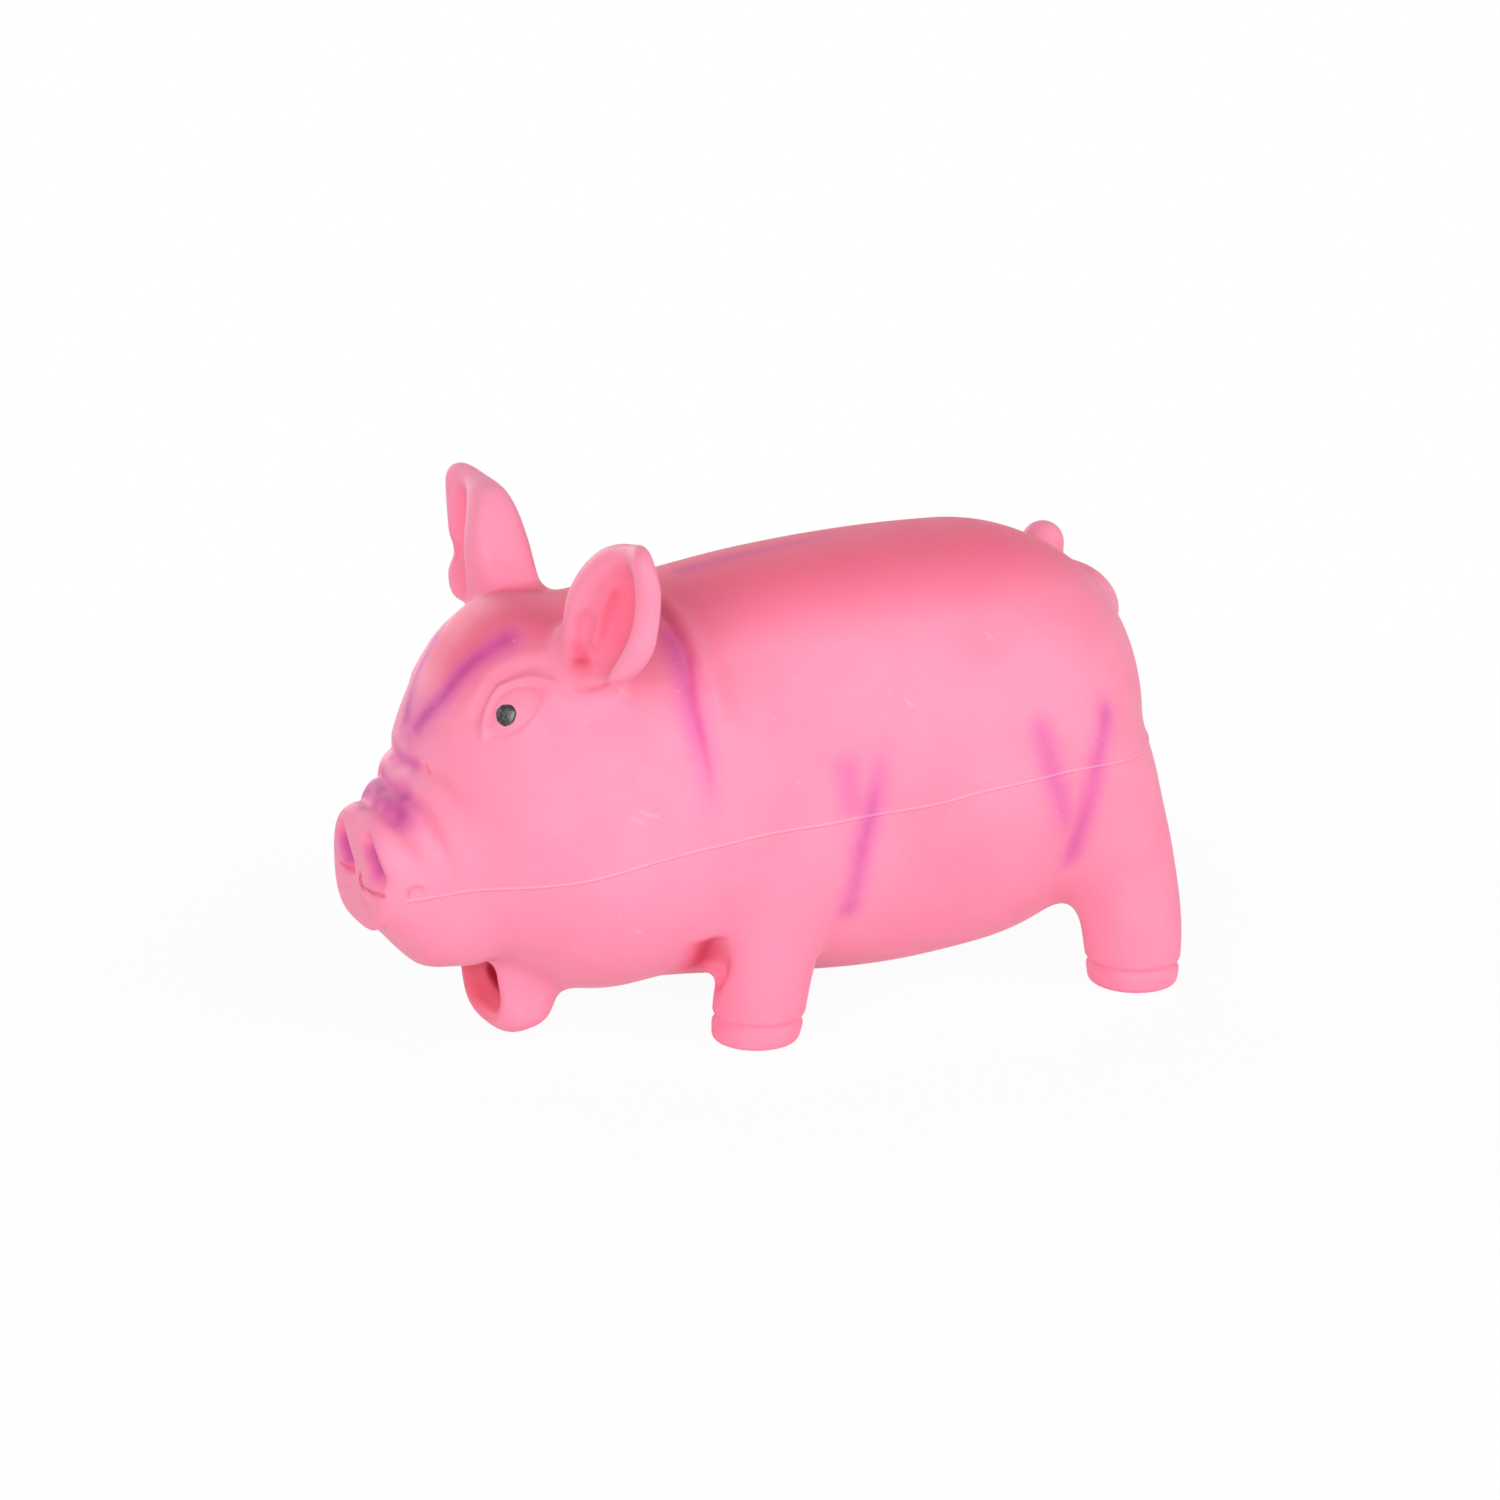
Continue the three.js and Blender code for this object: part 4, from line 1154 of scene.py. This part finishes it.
def ear_border(points, turn):
    """Positive on an ear, away from the trunk."""
    side = points * np.array([1, turn, 1])
    v = (side - EAR_ROOT) @ EAR_AXES[1]
    return np.minimum(np.minimum(trunk(left_side(points)) - EAR_BORDER, v + EAR_SINK), -side[:, 1])


def jaw_border(points):
    """Positive on the lip, below the jaw's hinge."""
    hinge, down = jaw_direction()
    return np.minimum((points - hinge) @ down - JAW_BORDER, LIP_REACH - blob(left_side(points), LIP))


def leg_border(points, shape, turn, split):
    """Positive on a leg, below the height of its split."""
    side = points * np.array([1, turn, 1])
    reach = np.linalg.norm((side - shape["sole"])[:, :2], axis=1)
    return np.minimum(split - points[:, 2], LEG_REACH - reach)


def front_border(points, x):
    """Positive ahead of a place along the pig."""
    return x - points[:, 0]


def bend(piece):
    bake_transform(piece)


def finish_skin(piece, node):
    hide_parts(node)
    return piece


def make_skin():
    sheet = skin_sheet()
    hinge, down = jaw_direction()

    def take(name, node, border, *details):
        points = np.array(sheet.columns)[:, :3]
        piece = sheet_piece(name, sheet, sheet.split(border(points, *details)), LATEX)
        return finish_skin(piece, node)

    for side, turn in SIDES.items():
        piece = take(f"skin_ear_{side}", f"ear_{side}", ear_border, turn)
        bend(piece)
    lip = take("skin_lip", "lower_jaw", jaw_border)
    bend(lip)
    for end, shape in (("front", FRONT_LEG), ("rear", REAR_LEG)):
        for side, turn in SIDES.items():
            leg_name = f"leg_{end}_{side}"
            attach(take(f"skin_{leg_name}", leg_name, leg_border, shape, turn, LEG_SPLIT_Z[end]), "pig")
    for part, split in (("snout", SNOUT_SPLIT_X), ("head", NECK_X)):
        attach(take(f"skin_{part}", f"{part}_skin", front_border, split), "pig")
    torso = finish_skin(sheet_piece("skin_torso", sheet, sheet.faces, LATEX), "torso_skin")
    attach(torso, "pig")


TAIL_ROOM = 3.0
TAIL_MESH_STEP = 0.5


def make_tail():
    reach = TAIL_RADIUS + TAIL_ROOM
    path = tail_path()
    lowest = path.min(0) - reach
    highest = path.max(0) + reach
    points, quads, outward = even_mesh(tail, lowest, highest, TAIL_MESH_STEP, SKIN_ROUNDS)
    marks = {mark: np.zeros(len(points)) for mark in MARKS}
    # Painted shade on the tail's top
    marks["painted_shade"] = painted_shade_depth(points, outward, marks["painted_shade"])
    piece = mesh_piece("skin_tail", points, quads.tolist(), LATEX, outward, marks)
    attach(finish_skin(piece, "tail"), "tail")


# Mould seam: a thin bead round the pig, where the halves of the mould met

SEAM_STEPS = 900
SEAM_HALF_WIDTH = 0.65
SEAM_HEIGHT = 0.45
SEAM_PROFILE = ((-1.0, -0.5), (-0.5, 0.45), (0.0, 1.0), (0.5, 0.45), (1.0, -0.5))
# Across the bead from its lower side: painted shade under it, and a painted highlight along its crest
SEAM_SHADE = (0.8, 0.5, 0, 0, 0)
SEAM_HIGHLIGHT = (0, 0.04, 0.2, 0.14, 0)
SEAM_DROP = 1.9
SEAM_DROP_LENGTH = 40.0
SEAM_SNOUT_DROP = 2.0
SEAM_SNOUT_DROP_X = (-78.0, -92.0)
SEAM_FRONT_X = -93.0
SEAM_REACH = 140.0
SEAM_HALVINGS = 28
SEAM_WANDER = ((0.25, 11.0, 0.0), (0.15, 4.3, 1.0))
SEAM_FULLNESS = 0.75
SEAM_SWELLS = (7.7, 2.9)
SEAM_END = 6.0


def seam_line():
    """Points round the pig at the height of the seam, from the left of the snout to its right."""
    angles = np.linspace(-np.pi, np.pi, SEAM_STEPS)
    aim = np.stack([np.cos(angles), np.sin(angles)], 1)
    near = np.zeros(SEAM_STEPS)
    far = np.full(SEAM_STEPS, SEAM_REACH)
    for _ in range(SEAM_HALVINGS):
        half = (near + far) / 2
        x = aim[:, 0] * half
        snout_share = (x - SEAM_SNOUT_DROP_X[0]) / (SEAM_SNOUT_DROP_X[1] - SEAM_SNOUT_DROP_X[0])
        drop = SEAM_DROP * ease((NECK_X - x) / SEAM_DROP_LENGTH) + SEAM_SNOUT_DROP * ease(snout_share)
        points = np.stack([x, aim[:, 1] * half, seam_height(x) - drop], 1)
        inside = skin(points) < 0
        near = np.where(inside, half, near)
        far = np.where(inside, far, half)
    return points[points[:, 0] > SEAM_FRONT_X]


def make_seam():
    line = seam_line()
    travel = np.r_[0, np.cumsum(np.linalg.norm(np.diff(line, axis=0), axis=1))]
    wander = sum(rise * np.sin(travel / length + start) for rise, length, start in SEAM_WANDER)
    swell = np.sin(travel / SEAM_SWELLS[0]) * np.sin(travel / SEAM_SWELLS[1])
    fullness = SEAM_FULLNESS + (1 - SEAM_FULLNESS) * swell
    fullness = fullness * ease(travel / SEAM_END) * ease((travel[-1] - travel) / SEAM_END)
    rings = []
    for across, rise in SEAM_PROFILE:
        points = line + np.outer(wander + across * SEAM_HALF_WIDTH, [0, 0, 1])
        points, outward = settle(skin, points)
        height = relief(points) + SEAM_HEIGHT * rise * fullness
        rings.append(points + outward * height[:, None])
    points = np.stack(rings, 1).reshape(-1, 3)
    faces = grid_faces(len(line), len(SEAM_PROFILE), False).tolist()
    marks = {mark: np.zeros(len(points)) for mark in MARKS}
    marks["streak"] = paint(points)
    # Painted shade under the bead and a painted highlight on its crest
    marks["painted_shade"] = np.tile(SEAM_SHADE, len(line))
    marks["scuff_and_highlight"] = np.tile(SEAM_HIGHLIGHT, len(line))
    piece = mesh_piece("mould_seam", points, faces, LATEX, None, marks)
    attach(piece, "pig")


# Painted eyes: domed dots of paint on the eyeballs

EYE_PIXEL = (508, 716)
EYE_RADIUS = 2.5
EYE_THICKNESS = 0.35
EYE_RINGS = 10
EYE_SIDES = 48
EYE_WOBBLE = ((3, 0.025, 0.6), (7, 0.015, 0.0))
EYE_EDGE_POWER = 6
EYE_SINK = 0.1


def make_eye(side, turn, material):
    centre = on_skin([EYE_PIXEL])
    _, outward = settle(skin, centre, 0)
    across = unit(np.cross(outward, [0, 0, 1]))
    upright = np.cross(across, outward)
    share = np.r_[0, np.repeat(np.arange(1, EYE_RINGS + 1) / EYE_RINGS, EYE_SIDES)]
    angle = np.r_[0, np.tile(np.arange(EYE_SIDES), EYE_RINGS)] * 2 * np.pi / EYE_SIDES
    wobble = 1 + sum(rise * np.sin(times * angle + start) for times, rise, start in EYE_WOBBLE)
    spokes = across * np.cos(angle)[:, None] + upright * np.sin(angle)[:, None]
    points, normal = settle(skin, centre + (EYE_RADIUS * wobble * share)[:, None] * spokes)
    height = relief(points) + EYE_THICKNESS * (1 - share**EYE_EDGE_POWER) - EYE_SINK
    points = (points + normal * height[:, None]) * np.array([1, turn, 1])
    faces = (1 + grid_faces(EYE_RINGS, EYE_SIDES, True)).tolist()
    faces += [[0, 1 + step, 1 + (step + 1) % EYE_SIDES] for step in range(EYE_SIDES)]
    if turn < 0:
        faces = [face[::-1] for face in faces]
    piece = mesh_piece(f"painted_eye_{side}", points, faces, material)
    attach(piece, "pig")
    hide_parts(f"eye_{side}")


# Fibre filling: a lumpy mass that stands clear of the lining

FIBRE_STEP = 3.0
FIBRE_CLEARANCE = 4.0
FIBRE_LUMP = 1.2
FIBRE_WAVES = (5.0, 9.0, 6.0, 7.0, 4.5, 8.0)
FIBRE_TAIL_ROOM = 12.0
FIBRE_FRONT_EDGE = 6.0
FIBRE_TAIL_EDGE = 4.0
FIBRE_ROOM = 6.0
FIBRE_ROUNDS = 2
FIBRE_BOX = box("fibre_filling")


def fibre_field(points):
    x, y, z = points.T
    a, b, c, d, e, f = FIBRE_WAVES
    waves = np.sin(x / a + 2 * np.sin(y / b)) * np.sin(y / c + z / d) + np.sin(z / e + x / f)
    lump = FIBRE_LUMP * (1 + waves / 2)
    inside = trunk(left_side(points)) + FIBRE_CLEARANCE + lump
    behind_front = x - FIBRE_BOX[0, 0] - lump
    clear_of_tail = np.linalg.norm(points - TAIL_ROOT, axis=1) - FIBRE_TAIL_ROOM
    return carve(carve(inside, behind_front, FIBRE_FRONT_EDGE), clear_of_tail, FIBRE_TAIL_EDGE)


def make_fibre():
    lowest = FIBRE_BOX[0] - FIBRE_ROOM
    highest = FIBRE_BOX[1] + FIBRE_ROOM
    points, quads, outward = even_mesh(fibre_field, lowest, highest, FIBRE_STEP, FIBRE_ROUNDS)
    piece = mesh_piece("fibre_mass", points, quads.tolist(), fibre(), outward)
    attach(piece, "pig")
    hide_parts("fibre_filling")


def dress_voice():
    looks = dict.fromkeys(("voice_barrel", "reed_block", "reed_clamp", "inlet_cap"), voice_plastic())
    looks["reed"] = reed_film()
    for name, material in looks.items():
        for slot in frame["nodes"][name].material_slots:
            slot.link = "OBJECT"
            slot.material = material


# Floor, background and lamps

FLOOR_SIZE = 6.0
FLOOR_FADE = (0.12, 0.42)
FLOOR_WHITE = 0.95


def floor_material():
    nodes = Nodes(bpy.data.materials.new("pale_floor"))
    grain = nodes.ramp(nodes.noise(3, 2.0), 0.3, 0.7)
    nodes.set(Base_Color=nodes.mix(grain, (0.9, 0.9, 0.9, 1), (0.93, 0.93, 0.93, 1)), Roughness=0.9)
    seen = seen_rays(nodes)
    reach = nodes.add("ShaderNodeVectorMath", {0: nodes.place()}, operation="LENGTH").outputs["Value"]
    share = nodes.math("MULTIPLY", seen, nodes.ramp(reach, *FLOOR_FADE, FLOOR_WHITE, 1.0))
    white = nodes.add("ShaderNodeEmission", {"Color": (1, 1, 1, 1), "Strength": 1.0})
    both = nodes.add("ShaderNodeMixShader", {"Fac": share})
    nodes.tree.links.new(nodes.shader.outputs["BSDF"], both.inputs[1])
    nodes.tree.links.new(white.outputs["Emission"], both.inputs[2])
    nodes.tree.links.new(both.outputs["Shader"], nodes.tree.nodes["Material Output"].inputs["Surface"])
    return nodes.holder


def add_floor():
    half = FLOOR_SIZE / 2
    mesh = bpy.data.meshes.new("floor")
    corners = [(-half, -half, 0), (half, -half, 0), (half, half, 0), (-half, half, 0)]
    mesh.from_pydata(corners, [], [(0, 1, 2, 3)])
    mesh.materials.append(floor_material())
    link("floor", mesh)


WORLD_LEVEL = 0.34


def seen_rays(nodes):
    """1 for rays from the camera, in reflections and through clear things."""
    rays = nodes.add("ShaderNodeLightPath").outputs
    either = nodes.math("MAXIMUM", rays["Is Camera Ray"], rays["Is Glossy Ray"])
    return nodes.math("MAXIMUM", either, rays["Is Transmission Ray"])


def add_world():
    nodes = Nodes(bpy.data.worlds.new("studio"))
    bpy.context.scene.world = nodes.holder
    level = nodes.ramp(seen_rays(nodes), 0.0, 1.0, WORLD_LEVEL, 1.0)
    nodes.set(Strength=level, Color=(1, 1, 1, 1))


# Lamps: place and size in metres, and power in watts
LAMPS = dict(
    key=dict(place=(-0.95, -1.0, 0.6), size=0.8, power=11.5),
    fill=dict(place=(0.75, -1.1, 0.5), size=0.8, power=7.8),
    rear=dict(place=(-0.1, 1.25, 0.35), size=0.9, power=5.8),
)
LAMP_AIM = Vector((0, 0, 0.05))


def add_lamps():
    for name, lamp in LAMPS.items():
        light = bpy.data.lights.new(name, "AREA")
        light.shape = "DISK"
        light.size = lamp["size"]
        light.energy = lamp["power"]
        holder = link(name, light)
        holder.location = lamp["place"]
        aim = LAMP_AIM - holder.location
        holder.rotation_euler = aim.to_track_quat("-Z", "Y").to_euler()


add_camera()
make_skin()
make_tail()
make_seam()
eye_black = eye_paint()
for eye_side, eye_turn in SIDES.items():
    make_eye(eye_side, eye_turn, eye_black)
make_fibre()
dress_voice()
add_floor()
add_world()
add_lamps()
bpy.context.scene.view_settings.view_transform = "Standard"
